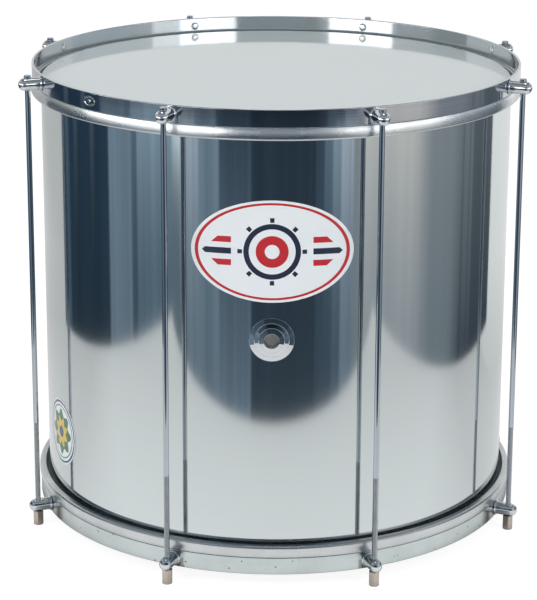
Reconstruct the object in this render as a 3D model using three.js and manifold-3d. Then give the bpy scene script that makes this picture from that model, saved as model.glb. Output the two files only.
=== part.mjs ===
// A surdo: the large Brazilian bass drum, with an aluminium shell, two film heads,
// two flat counterhoops and eight tension rods that run from bullet lugs on the batter
// hoop to bullet lugs on the resonant hoop, each drawn tight by a tall nut underneath.
//
// Millimetres, +Z up. The origin is on the drum's axis, on the plane of the floor: the
// drum stands on its eight nuts. -Y is the front, where the air vent is.

import * as THREE from 'three';
import { mergeVertices } from 'three/addons/utils/BufferGeometryUtils.js';
import Module from 'manifold-3d';

const wasm = await Module();
wasm.setup();

// Clearances
const seatGap = 0.3; // between two pieces that bear on each other
const rodClearance = 0.5; // round a rod in the bore of a lug
const threadClearance = 0.3; // between a rod's thread and the bore of its nut
const cutOverrun = 2; // how far a cutting tool runs past the face it opens

// Shell
const shellRadius = 279.4; // outside, a 22 inch drum
const shellLength = 500; // from bearing edge to bearing edge
const shellWall = 1.5;
const edgeRollRadius = 2.6; // the sheet is rolled inwards over a wire at each end

// Heads
const filmThickness = 0.25;
const filmLockWidth = 1.8; // the folded edge of the film, held in the flesh hoop
const filmLockHeight = 1.4;
const filmLockClearance = 0.4;

// Flesh hoops
const collarWidth = 4.4; // from the shell to the inside of the flesh hoop
const fleshWidth = 7.7;
const fleshHeight = 14;
const fleshShoulder = 3; // the round outer shoulder that faces the drum's middle
const fleshSlopeHeight = 6.2; // the part of the outer face that leans in to the counterhoop
const fleshLip = 0.15; // how far it still stands out past the counterhoop at the top of that

// Counterhoops
const hoopProud = 1.5; // how far the flesh hoop stands out past the counterhoop
const hoopThickness = 3;
const hoopHeight = 20;
const hoopOverhang = 17.5; // from the film to the free edge of the hoop
const hoopEdgeRound = 0.6;

// Lugs
const lugCount = 8;
const lugRadius = 7.5;
const lugFlangeMargin = 1.2; // from the flange to the edges of the hoop
const lugFlangeThickness = 1.6;
const lugFlangeFillet = 1.2;
const lugSeatHeight = 6.8; // from the lug's axis to the flats that the rod pulls on
const lugSeatRadius = 6;
const lugNose = 10.9; // from the rod's axis to the tip of the round nose

// Rods and their nuts
const rodStandoff = 16; // from the counterhoop to the rod's axis
const rodRadius = 3.175; // a quarter inch rod
const rodTipChamfer = 0.6;
const rodTipInset = 3; // the rod ends inside its nut, this far above the floor
const rodHeadRadius = 4;
const rodHeadHeight = 2.6;
const rodHeadRound = 0.6;
const rodCollarRadius = 4.45; // the thin collar under the head
const rodCollarHeight = 1;
const nutAcrossFlats = 11.1; // seven sixteenths of an inch
const nutHeight = 17.5;
const nutFaceInset = 0.3; // the turned ring of each end face, inside the flats
const nutChamferHeight = 0.9;

// Screws that hold the lugs, from inside the counterhoops
const screwRadius = 2.5;
const screwHeadRadius = 5;
const screwHeadHeight = 1;
const screwDepth = 7; // into the lug
const screwClearance = 0.3;

// Air vent: a grommet of three stepped rings in the shell and the ring nut behind it
const ventAboveMiddle = 7.5;
const ventRadius = 25;
const ventStepRadius = 19.5; // outside of the second ring
const ventCrownRadius = 14.5; // outside of the third ring
const ventRimHeight = 1.1; // from the shell to the edge of the first ring
const ventRingRise = 1.45; // each ring's face climbs this much towards the bore
const ventRingStep = 0.45; // and the next ring stands this much higher
const ventEdgeRound = 0.4;
const ventBore = 8.35;
const ventSleeveWall = 1.3;
const ventSleeveReach = 5; // behind the inside of the shell
const ventNutRadius = 15;
const ventNutThickness = 2.5;

// Facets
const drumSteps = 48;
const lugSteps = 12;
const lugNoseSteps = 3;
const lugBoreSteps = 8;
const rodSteps = 10;
const screwSteps = 8;
const nutBoreSteps = 8;
const nutTurnSteps = 12;
const ventSteps = 20;
const edgeRollSteps = 4;
const collarSteps = 1;
const fleshShoulderSteps = 2;

// What follows from those sizes
const filmStack = seatGap + filmThickness; // from a bearing edge to the film's outer face
const hoopReach = filmStack + hoopOverhang; // from a bearing edge to the hoop's free edge
const hoopSeat = hoopReach - hoopHeight; // from a bearing edge to the hoop's inner edge
const fleshFace = hoopSeat - seatGap;
const fleshFoot = fleshFace - fleshHeight;
const lugLevel = hoopReach - hoopHeight / 2; // the lugs sit on the middle of the band

const floorToHoop = nutHeight + seatGap + lugSeatHeight - hoopHeight / 2;
const lowEdge = floorToHoop + hoopReach;
const highEdge = lowEdge + shellLength;
const shellMiddle = (lowEdge + highEdge) / 2;

const fleshInner = shellRadius + collarWidth;
const fleshOuter = fleshInner + fleshWidth;
const hoopOuter = fleshOuter - hoopProud;
const hoopInner = hoopOuter - hoopThickness;
const lugFace = hoopOuter + seatGap;
const lugFlangeRadius = hoopHeight / 2 - lugFlangeMargin;
const rodPlace = hoopOuter + rodStandoff;
const rodBore = rodRadius + rodClearance;
const screwBore = screwRadius + screwClearance;
const ventSleeve = ventBore + ventSleeveWall;

const BATTER = { edge: highEdge, outward: 1 };
const RESONANT = { edge: lowEdge, outward: -1 };

// Finishes
const finish = (color, roughness, metalness, extra = {}) =>
  new THREE.MeshStandardMaterial({ color, roughness, metalness, ...extra });

const polishedAluminium = finish(0xd3d6d8, 0.12, 1);
const satinAluminium = finish(0xd9dad7, 0.35, 1);
const chrome = finish(0xe2e4e6, 0.06, 1);
const nickel = finish(0xb9b09f, 0.3, 1);
const zinc = finish(0xc4c7c8, 0.3, 1);
const film = finish(0xcdd4d4, 0.2, 0, { transparent: true, opacity: 0.75 });

// Geometry helpers

/** Point on a circle about [x, y], at an angle in degrees. */
function onCircle(x, y, radius, degrees) {
  const angle = THREE.MathUtils.degToRad(degrees);
  return [x + radius * Math.cos(angle), y + radius * Math.sin(angle)];
}

/** Points of an arc about [x, y], both ends included. */
function arc(x, y, radius, from, to, steps) {
  return Array.from({ length: steps + 1 }, (_, i) =>
    onCircle(x, y, radius, from + ((to - from) * i) / steps));
}

/** Angle in degrees at which a line from a point touches a circle, on its outer upper side. */
function tangentAngle(centre, radius, point) {
  const run = point[0] - centre[0];
  const rise = point[1] - centre[1];
  const swing = Math.acos(radius / Math.hypot(run, rise));
  return THREE.MathUtils.radToDeg(Math.atan2(rise, run) + swing);
}

/** One closed surface: merged vertices, no slivers, every face pointing out. */
function closeSurface(geometry) {
  for (const name of Object.keys(geometry.attributes)) {
    if (name !== 'position') geometry.deleteAttribute(name);
  }
  const merged = mergeVertices(geometry);
  const index = merged.index.array;
  const faces = [];
  const corners = [0, 1, 2].map(() => new THREE.Vector3());
  let volume = 0;
  for (let i = 0; i < index.length; i += 3) {
    const face = [index[i], index[i + 1], index[i + 2]];
    if (new Set(face).size < 3) continue;
    face.forEach((vertex, j) => corners[j].fromBufferAttribute(merged.attributes.position, vertex));
    volume += corners[0].dot(corners[1].clone().cross(corners[2]));
    faces.push(face);
  }
  merged.setIndex(faces.flatMap(([a, b, c]) => (volume < 0 ? [a, c, b] : [a, b, c])));
  return merged;
}

/** A turned solid about Z, from [radius, height] points that start and end on the axis. */
function turn(points, steps) {
  const outline = points.map(([radius, height]) => new THREE.Vector2(Math.max(radius, 0), height));
  return closeSurface(new THREE.LatheGeometry(outline, steps).rotateX(Math.PI / 2));
}

/** A turned ring about Z, from an outline that does not reach the axis. */
function turnRing(points, steps) {
  return turn([...points, points[0]], steps);
}

/** A straight round bar about Z, for cutting with. */
function bar(radius, low, high, steps) {
  return turn([[0, low], [radius, low], [radius, high], [0, high]], steps);
}

function toSolid(geometry) {
  return new wasm.Manifold(new wasm.Mesh({
    numProp: 3,
    vertProperties: new Float32Array(geometry.attributes.position.array),
    triVerts: new Uint32Array(geometry.index.array),
  }));
}

/** Cuts every tool out of a body, each a closed geometry. */
function cut(body, ...tools) {
  const result = tools.reduce((solid, tool) => solid.subtract(toSolid(tool)), toSolid(body));
  return fromSolid(result);
}

function fromSolid(solid) {
  const { vertProperties, triVerts } = solid.getMesh();
  const geometry = new THREE.BufferGeometry();
  geometry.setAttribute('position', new THREE.BufferAttribute(new Float32Array(vertProperties), 3));
  geometry.setIndex(Array.from(triVerts));
  return geometry;
}

// Placing

const surdo = new THREE.Group();

function add(name, geometry, material) {
  geometry.computeVertexNormals();
  const mesh = new THREE.Mesh(geometry, material);
  mesh.name = name;
  surdo.add(mesh);
  return mesh;
}

/** Direction of a lug about the drum's axis, the first one to the right of the front. */
function lugAngle(i) {
  return -Math.PI / 2 + ((i + 1 / 2) * 2 * Math.PI) / lugCount;
}

/** Heights counted outwards from a bearing edge become heights above the floor. */
function atHead(head, points) {
  return points.map(([radius, outward]) => [radius, head.edge + head.outward * outward]);
}

/** Runs once for each lug place. */
function everyLug(make) {
  return Array.from({ length: lugCount }, (_, i) => make(i));
}

// Shell

/** Sheet aluminium tube with both ends rolled inwards to a round bearing edge. */
function shellGeometry() {
  const rollCentre = shellRadius - edgeRollRadius;
  const wallInside = shellRadius - shellWall;
  const end = [
    ...arc(rollCentre, -edgeRollRadius, edgeRollRadius, 0, 180, edgeRollSteps),
    [wallInside, -2 * edgeRollRadius],
  ];
  const outline = [...atHead(BATTER, end), ...atHead(RESONANT, end).reverse()];
  const hole = bar(ventSleeve + seatGap, 0, shellRadius + cutOverrun, ventSteps)
    .rotateX(Math.PI / 2)
    .translate(0, 0, shellMiddle + ventAboveMiddle);
  return cut(turnRing(outline, drumSteps), hole);
}

// Heads

/** Where the film's folded edge sits inside the flesh hoop. */
const lockCentre = fleshFace - fleshHeight / 2;
const lockInner = fleshInner + filmLockClearance;
const lockOuter = lockInner + filmLockWidth;

/** Film laid over the bearing edge, then down the collar to its lock in the flesh hoop. */
function headGeometry(head) {
  const rollCentre = [shellRadius - edgeRollRadius, -edgeRollRadius];
  const innerRadius = edgeRollRadius + seatGap;
  const outerRadius = innerRadius + filmThickness;
  const collarInner = [lockInner, lockCentre - filmThickness / 2];
  const collarOuter = [lockInner, lockCentre + filmThickness / 2];
  const innerTouch = tangentAngle(rollCentre, innerRadius, collarInner);
  const outerTouch = tangentAngle(rollCentre, outerRadius, collarOuter);
  const outline = [
    [0, seatGap],
    ...arc(...rollCentre, innerRadius, 90, innerTouch, collarSteps),
    collarInner,
    [lockOuter, lockCentre - filmLockHeight / 2],
    [lockOuter, lockCentre + filmLockHeight / 2],
    collarOuter,
    ...arc(...rollCentre, outerRadius, outerTouch, 90, collarSteps),
    [0, filmStack],
  ];
  return turn(atHead(head, outline), drumSteps);
}

/** Extruded aluminium ring with a round shoulder, a sloping lip and the slot for the film. */
function fleshHoopGeometry(head) {
  const slotHalf = filmLockHeight / 2 + filmLockClearance;
  const slotFloor = lockOuter + filmLockClearance;
  const shoulder = arc(
    fleshOuter - fleshShoulder, fleshFoot + fleshShoulder, fleshShoulder, -90, 0, fleshShoulderSteps);
  const outline = [
    [fleshInner, fleshFoot],
    ...shoulder,
    [fleshOuter, fleshFace - fleshSlopeHeight],
    [hoopOuter + fleshLip, fleshFace],
    [fleshInner, fleshFace],
    [fleshInner, lockCentre + slotHalf],
    [slotFloor, lockCentre + slotHalf],
    [slotFloor, lockCentre - slotHalf],
    [fleshInner, lockCentre - slotHalf],
  ];
  return turnRing(atHead(head, outline), drumSteps);
}

// Counterhoops

/** Flat band bent to a ring, drilled for the screws of its lugs. */
function counterhoopGeometry(head) {
  const outline = [
    [hoopInner, hoopSeat],
    [hoopOuter - hoopEdgeRound, hoopSeat],
    [hoopOuter, hoopSeat + hoopEdgeRound],
    [hoopOuter, hoopReach - hoopEdgeRound],
    [hoopOuter - hoopEdgeRound, hoopReach],
    [hoopInner, hoopReach],
  ];
  const holes = everyLug((i) =>
    bar(screwBore, hoopInner - cutOverrun, hoopOuter + cutOverrun, screwSteps)
      .rotateY(Math.PI / 2)
      .rotateZ(lugAngle(i))
      .translate(0, 0, head.edge + head.outward * lugLevel));
  return cut(turnRing(atHead(head, outline), drumSteps), ...holes);
}

// Lugs

/**
 * Bullet lug along +X from the counterhoop: a flange on the band, a round body and a
 * ball nose, with the rod's bore, a flat seat above and below it, and a screw hole behind.
 */
function lugGeometry() {
  const noseCentre = rodPlace + lugNose - lugRadius;
  const flangeTop = lugFace + lugFlangeThickness;
  const body = turn([
    [0, lugFace],
    [lugFlangeRadius, lugFace],
    [lugFlangeRadius, flangeTop],
    [lugRadius, flangeTop + lugFlangeFillet],
    ...arc(0, noseCentre, lugRadius, 0, 90, lugNoseSteps),
  ], lugSteps).rotateY(Math.PI / 2);
  const tall = lugRadius + cutOverrun;
  const rodHole = bar(rodBore, -tall, tall, lugBoreSteps).translate(rodPlace, 0, 0);
  const seats = [1, -1].map((side) => {
    const levels = [side * lugSeatHeight, side * tall].sort((a, b) => a - b);
    return bar(lugSeatRadius, ...levels, lugBoreSteps).translate(rodPlace, 0, 0);
  });
  const screwEnd = lugFace + screwDepth + screwClearance;
  const screwHole = bar(screwBore, lugFace - cutOverrun, screwEnd, screwSteps).rotateY(Math.PI / 2);
  return cut(body, rodHole, ...seats, screwHole);
}

/** Screw along +X: a low round head inside the band and a shank into the lug. */
function lugScrewGeometry() {
  const headSeat = hoopInner - seatGap;
  return turn([
    [0, headSeat - screwHeadHeight],
    [screwHeadRadius / 2, headSeat - screwHeadHeight],
    [screwHeadRadius, headSeat],
    [screwRadius, headSeat],
    [screwRadius, lugFace + screwDepth],
    [0, lugFace + screwDepth],
  ], screwSteps).rotateY(Math.PI / 2);
}

// Tension rods and nuts

const rodSeat = highEdge + lugLevel + lugSeatHeight; // the upper flats of the batter lugs
const rodHeadFoot = rodSeat + seatGap;

/** Rod with a collar and a round head at its top, standing on its own axis. */
function rodGeometry() {
  const collarTop = rodHeadFoot + rodCollarHeight;
  const headTop = collarTop + rodHeadHeight;
  return turn([
    [0, rodTipInset],
    [rodRadius - rodTipChamfer, rodTipInset],
    [rodRadius, rodTipInset + rodTipChamfer],
    [rodRadius, rodHeadFoot],
    [rodCollarRadius, rodHeadFoot],
    [rodCollarRadius, collarTop],
    [rodHeadRadius, collarTop],
    [rodHeadRadius, headTop - rodHeadRound],
    [rodHeadRadius - rodHeadRound, headTop],
    [0, headTop],
  ], rodSteps);
}

/** Tall hexagon nut with its corners turned off at both ends, bored right through. */
function nutGeometry() {
  const cornerRadius = nutAcrossFlats / Math.sqrt(3);
  const faceRadius = nutAcrossFlats / 2 - nutFaceInset;
  const corners = arc(0, 0, cornerRadius, 30, 330, 5).map((corner) => new THREE.Vector2(...corner));
  const section = new THREE.Shape(corners);
  const hexagon = closeSurface(
    new THREE.ExtrudeGeometry(section, { depth: nutHeight, bevelEnabled: false }));
  const turned = turn([
    [0, 0],
    [faceRadius, 0],
    [cornerRadius, nutChamferHeight],
    [cornerRadius, nutHeight - nutChamferHeight],
    [faceRadius, nutHeight],
    [0, nutHeight],
  ], nutTurnSteps);
  const blank = fromSolid(toSolid(hexagon).intersect(toSolid(turned)));
  const bore = bar(rodRadius + threadClearance, -cutOverrun, nutHeight + cutOverrun, nutBoreSteps);
  return cut(blank, bore);
}

// Air vent

/** Grommet that faces -Y, its rings stepped and hollowed behind to the shell's curve. */
function ventGeometry() {
  const sleeveEnd = shellRadius - shellWall - ventSleeveReach;
  const rim = shellRadius + ventRimHeight;
  const step = rim + ventRingRise + ventRingStep;
  const crown = step + ventRingRise + ventRingStep;
  const lip = crown + ventRingRise;
  const behind = shellRadius - shellWall - cutOverrun;
  const face = turnRing([
    [ventBore, behind],
    [ventRadius, behind],
    [ventRadius, rim - ventEdgeRound],
    [ventRadius - ventEdgeRound, rim],
    [ventStepRadius, rim + ventRingRise],
    [ventStepRadius - ventEdgeRound, step],
    [ventCrownRadius, step + ventRingRise],
    [ventCrownRadius - ventEdgeRound, crown],
    [ventBore + ventEdgeRound, lip],
    [ventBore, lip - ventEdgeRound],
  ], ventSteps).rotateX(Math.PI / 2);
  const halfHeight = ventRadius + cutOverrun;
  const shellForm = bar(shellRadius + seatGap, -halfHeight, halfHeight, drumSteps);
  const sleeve = turnRing([
    [ventBore, sleeveEnd],
    [ventSleeve, sleeveEnd],
    [ventSleeve, rim],
    [ventBore, rim],
  ], ventSteps).rotateX(Math.PI / 2);
  return fromSolid(toSolid(cut(face, shellForm)).add(toSolid(sleeve)));
}

/** Ring nut behind the shell, shaped to its inside. */
function ventNutGeometry() {
  const wallInside = shellRadius - shellWall;
  const flatEdge = Math.sqrt(wallInside ** 2 - ventNutRadius ** 2);
  const ring = turnRing([
    [ventSleeve + seatGap, flatEdge - ventNutThickness],
    [ventNutRadius, flatEdge - ventNutThickness],
    [ventNutRadius, wallInside],
    [ventSleeve + seatGap, wallInside],
  ], ventSteps).rotateX(Math.PI / 2);
  const flatInside = wallInside * Math.cos(Math.PI / drumSteps); // the middle of a facet
  const halfHeight = ventNutRadius + cutOverrun;
  const inside = bar(flatInside - seatGap, -halfHeight, halfHeight, drumSteps);
  return fromSolid(toSolid(ring).intersect(toSolid(inside)));
}

// Assembly

const ventLevel = shellMiddle + ventAboveMiddle;

add('shell', shellGeometry(), polishedAluminium);
add('vent_grommet', ventGeometry(), chrome).position.z = ventLevel;
add('vent_ring_nut', ventNutGeometry(), zinc).position.z = ventLevel;

add('batter_head', headGeometry(BATTER), film);
add('batter_flesh_hoop', fleshHoopGeometry(BATTER), satinAluminium);
add('batter_counterhoop', counterhoopGeometry(BATTER), chrome);

add('resonant_head', headGeometry(RESONANT), film);
add('resonant_flesh_hoop', fleshHoopGeometry(RESONANT), satinAluminium);
add('resonant_counterhoop', counterhoopGeometry(RESONANT), satinAluminium);

everyLug((i) => {
  const angle = lugAngle(i);
  const place = [rodPlace * Math.cos(angle), rodPlace * Math.sin(angle)];
  for (const [side, head] of [['batter', BATTER], ['resonant', RESONANT]]) {
    const lug = add(`${side}_lug_${i + 1}`, lugGeometry(), chrome);
    const screw = add(`${side}_lug_screw_${i + 1}`, lugScrewGeometry(), zinc);
    for (const piece of [lug, screw]) {
      piece.rotation.z = angle;
      piece.position.z = head.edge + head.outward * lugLevel;
    }
  }
  add(`tension_rod_${i + 1}`, rodGeometry(), chrome).position.set(...place, 0);
  add(`tuning_nut_${i + 1}`, nutGeometry(), nickel).position.set(...place, 0);
});

export default surdo;
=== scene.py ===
"""Looks of a surdo, the large Brazilian bass drum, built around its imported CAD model.

Sizes are written in millimetres, as on the drum's drawing, and become metres when a blank
is made a piece. The drum stands on its eight tuning nuts, its axis is Z and its air vent
faces -Y. "Outward" at a head means away from the middle of the drum.
"""

import logging
import math
from dataclasses import dataclass, field
from enum import Enum
from typing import Callable, Optional, Sequence

import bmesh
import bpy
from mathutils import Matrix, Vector


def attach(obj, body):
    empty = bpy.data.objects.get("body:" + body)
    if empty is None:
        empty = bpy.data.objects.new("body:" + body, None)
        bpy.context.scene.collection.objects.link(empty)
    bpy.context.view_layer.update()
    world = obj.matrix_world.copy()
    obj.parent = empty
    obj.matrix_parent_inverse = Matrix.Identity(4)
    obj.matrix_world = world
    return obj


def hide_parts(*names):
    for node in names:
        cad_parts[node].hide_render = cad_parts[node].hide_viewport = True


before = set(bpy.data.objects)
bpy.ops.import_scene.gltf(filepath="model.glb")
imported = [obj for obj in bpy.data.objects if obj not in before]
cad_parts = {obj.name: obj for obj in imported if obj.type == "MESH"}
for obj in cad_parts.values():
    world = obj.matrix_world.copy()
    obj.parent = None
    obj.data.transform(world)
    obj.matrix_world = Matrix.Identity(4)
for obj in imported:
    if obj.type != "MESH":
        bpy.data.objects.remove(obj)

LOG = logging.getLogger("surdo")

MM = 0.001
LUG_COUNT = 8
DRUM_STEPS = 288
SEAT_GAP = 0.3
SHARP_ANGLE = math.radians(32)
CRISP_ANGLE = math.radians(20)
PLATE_GRID = (44, 32)
ON_AXIS = 1e-6
ON_PLANE = 1e-3
MERGE_REACH = 1e-4
CUT_REACH = 1e-5
UP = Vector((0, 0, 1))

Colour = tuple[float, float, float]
Span = tuple[float, float]
Socket = bpy.types.NodeSocket


class Head(Enum):
    """The two ends of the drum: the sign of outward, and the names of their nodes."""

    BATTER = 1
    RESONANT = -1

    @property
    def word(self) -> str:
        """The first word of the names of this end's nodes."""
        return self.name.lower()


def lug_angle(number: int) -> float:
    """Direction of a lug place about the drum's axis.

    Args:
        number: 1 to 8, counted anticlockwise from the one to the right of the front.

    Returns:
        The angle from +X, in radians.
    """
    return math.radians(-90 + (number - 0.5) * 360 / LUG_COUNT)


def linked(name: str, data: bpy.types.ID) -> bpy.types.Object:
    """A new object in the scene.

    Args:
        name: its name.
        data: its mesh, camera or light.

    Returns:
        The object.
    """
    made = bpy.data.objects.new(name, data)
    bpy.context.scene.collection.objects.link(made)
    return made


# Blanks


@dataclass(frozen=True)
class Corner:
    """A corner of a turned outline: its radius, its height and how far it is rounded."""

    radius: float
    height: float
    round: float = 0.0


class Blank:
    """A mesh in the making, in millimetres, with the few operations that the drum needs."""

    def __init__(self) -> None:
        """Starts with nothing in it."""
        self.mesh = bmesh.new()

    @classmethod
    def turned(cls, outline: Sequence[Corner], steps: int, segments: int = 3) -> "Blank":
        """Spins a closed outline about Z.

        Args:
            outline: the corners in order; those at radius 0 lie on the axis.
            steps: facets round the axis.
            segments: facets of each rounded corner.

        Returns:
            The closed turned blank.
        """
        blank = cls()
        bm = blank.mesh
        corners = [bm.verts.new((c.radius, 0, c.height)) for c in outline]
        bm.faces.new(corners)
        for corner, vertex in zip(outline, corners):
            if corner.round:
                bmesh.ops.bevel(
                    bm, geom=[vertex], offset=corner.round, offset_type="OFFSET",
                    affect="VERTICES", segments=segments, profile=0.5, material=-1)
        bmesh.ops.delete(bm, geom=bm.faces[:], context="FACES_ONLY")
        on_axis = [e for e in bm.edges if max(v.co.x for v in e.verts) < ON_AXIS]
        bmesh.ops.delete(bm, geom=on_axis, context="EDGES")
        bmesh.ops.spin(
            bm, geom=bm.verts[:] + bm.edges[:], cent=(0, 0, 0), axis=(0, 0, 1),
            dvec=(0, 0, 0), angle=math.tau, steps=steps, use_merge=True)
        return blank.tidied()

    @classmethod
    def bar(cls, radius: float, low: float, high: float, steps: int = 48) -> "Blank":
        """A plain round bar about Z, to cut with."""
        outline = [Corner(0, low), Corner(radius, low), Corner(radius, high), Corner(0, high)]
        return cls.turned(outline, steps)

    @classmethod
    def plate(cls, half_width: float, half_height: float, thickness: float) -> "Blank":
        """A thin oval plate in the XY plane, its back at height 0, mapped by its own outline.

        Args:
            half_width: half its size along X.
            half_height: half its size along Y.
            thickness: its thickness, towards +Z.

        Returns:
            The closed plate, with a UV map that runs from 0 to 1 across both sizes.
        """
        blank = cls()
        bm = blank.mesh
        columns, rows = PLATE_GRID
        bmesh.ops.create_grid(bm, x_segments=columns, y_segments=rows, size=1)
        for vertex in bm.verts:
            x, y = vertex.co.x, vertex.co.y
            vertex.co.x = x * math.sqrt(1 - y * y / 2) * half_width
            vertex.co.y = y * math.sqrt(1 - x * x / 2) * half_height
        made = bmesh.ops.extrude_face_region(bm, geom=bm.faces[:], use_keep_orig=True)["geom"]
        lifted = [item for item in made if isinstance(item, bmesh.types.BMVert)]
        bmesh.ops.translate(bm, verts=lifted, vec=(0, 0, thickness))
        layer = bm.loops.layers.uv.new("outline")
        for face in bm.faces:
            for loop in face.loops:
                across, up = loop.vert.co.x / half_width, loop.vert.co.y / half_height
                loop[layer].uv = ((across + 1) / 2, (up + 1) / 2)
        return blank.tidied()

    def wrapped(self, radius: float, azimuth: float, level: float) -> "Blank":
        """Bends a flat blank round the drum: X runs round it, Y up it and Z away from it.

        Args:
            radius: the radius on which height 0 lies.
            azimuth: where X = 0 lies, from -Y towards +X, in degrees.
            level: the height of Y = 0.

        Returns:
            This blank, bent.
        """
        def bend(point: Vector) -> Vector:
            """Where one point of the flat blank comes to lie."""
            angle = math.radians(azimuth) + point.x / radius
            reach = radius + point.z
            return Vector((reach * math.sin(angle), -reach * math.cos(angle), level + point.y))

        return self.reshaped(bend)

    def tidied(self) -> "Blank":
        """Merges doubles and turns every face outwards.

        Returns:
            This blank.
        """
        bmesh.ops.remove_doubles(self.mesh, verts=self.mesh.verts[:], dist=MERGE_REACH)
        bmesh.ops.recalc_face_normals(self.mesh, faces=self.mesh.faces[:])
        return self

    def moved(self, matrix: Matrix) -> "Blank":
        """Transforms the whole blank."""
        bmesh.ops.transform(self.mesh, matrix=matrix, verts=self.mesh.verts[:])
        return self

    def split(self, point: Vector, normal: Vector) -> "Blank":
        """Adds the edges where a plane meets the surface.

        Args:
            point: a point of the plane.
            normal: the plane's normal.

        Returns:
            This blank.
        """
        bm = self.mesh
        geometry = bm.verts[:] + bm.edges[:] + bm.faces[:]
        bmesh.ops.bisect_plane(bm, geom=geometry, dist=CUT_REACH, plane_co=point, plane_no=normal)
        return self

    def trimmed(self, point: Vector, normal: Vector) -> "Blank":
        """Takes off what lies on the normal's side of a plane and closes the cut.

        Args:
            point: a point of the plane.
            normal: the plane's normal.

        Returns:
            This blank.
        """
        bm = self.mesh
        geometry = bm.verts[:] + bm.edges[:] + bm.faces[:]
        bmesh.ops.bisect_plane(
            bm, geom=geometry, dist=CUT_REACH, plane_co=point, plane_no=normal, clear_outer=True)
        rim = [e for e in bm.edges if e.is_boundary and all(
            abs((v.co - point).dot(normal)) < ON_PLANE for v in e.verts)]
        bmesh.ops.holes_fill(bm, edges=rim, sides=0)
        return self

    def placed_copy(self, place: Matrix) -> "Blank":
        """A second blank of the same form, moved to its place.

        Args:
            place: the transform to its place.

        Returns:
            The new blank.
        """
        twin = Blank()
        twin.mesh.free()
        twin.mesh = self.mesh.copy()
        return twin.moved(place)

    def _as_object(self, name: str) -> bpy.types.Object:
        """This blank as a passing object, for a Boolean.

        Args:
            name: the object's name.

        Returns:
            The object, linked to the scene.
        """
        mesh = bpy.data.meshes.new(name)
        self.mesh.to_mesh(mesh)
        return linked(name, mesh)

    def cut(self, *tools: "Blank") -> "Blank":
        """Takes other closed blanks out of this one.

        Args:
            tools: the cutting forms.

        Returns:
            This blank, with the tools cut out of it.
        """
        body = self._as_object("cut_body")
        cutters = [tool._as_object("cut_tool") for tool in tools]
        for cutter in cutters:
            step = body.modifiers.new("cut", "BOOLEAN")
            step.operation, step.solver, step.object = "DIFFERENCE", "EXACT", cutter
        graph = bpy.context.evaluated_depsgraph_get()
        result = bpy.data.meshes.new_from_object(body.evaluated_get(graph))
        self.mesh.clear()
        self.mesh.from_mesh(result)
        bpy.data.meshes.remove(result)
        for passing in (body, *cutters):
            mesh = passing.data
            bpy.data.objects.remove(passing)
            bpy.data.meshes.remove(mesh)
        return self.tidied()

    def reshaped(self, shape: Callable[[Vector], Vector]) -> "Blank":
        """Moves every vertex to where a function says.

        Args:
            shape: gives each point's new place.

        Returns:
            This blank.
        """
        for vertex in self.mesh.verts:
            vertex.co = shape(vertex.co)
        return self


def make_piece(
    blank: Blank,
    name: str,
    finish: "Finish",
    body: str = "root",
    nodes: Sequence[str] = (),
    sharp: float = SHARP_ANGLE,
    inside: Optional["Finish"] = None,
) -> bpy.types.Object:
    """Makes a blank a finished piece that rides on a CAD body.

    Args:
        blank: the form, in millimetres.
        name: the piece's name.
        finish: what it is made of.
        body: the CAD body that carries it.
        nodes: the CAD nodes that it stands for.
        sharp: faces that meet at more than this angle keep a crisp edge, in radians.
        inside: the finish of the faces that the blank gives material index 1.

    Returns:
        The piece's object.
    """
    blank.moved(Matrix.Scale(MM, 4))
    mesh = bpy.data.meshes.new(name)
    blank.mesh.to_mesh(mesh)
    blank.mesh.free()
    mesh.shade_smooth()
    mesh.set_sharp_from_angle(angle=sharp)
    mesh.materials.append(finish.material())
    if inside:
        mesh.materials.append(inside.material())
    piece = linked(name, mesh)
    even = piece.modifiers.new("even_faces", "WEIGHTED_NORMAL")
    even.keep_sharp = True
    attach(piece, body)
    if nodes:
        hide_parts(*nodes)
    LOG.info("%s on %s, %d faces", name, body, len(mesh.polygons))
    return piece


# Shader graphs


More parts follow.
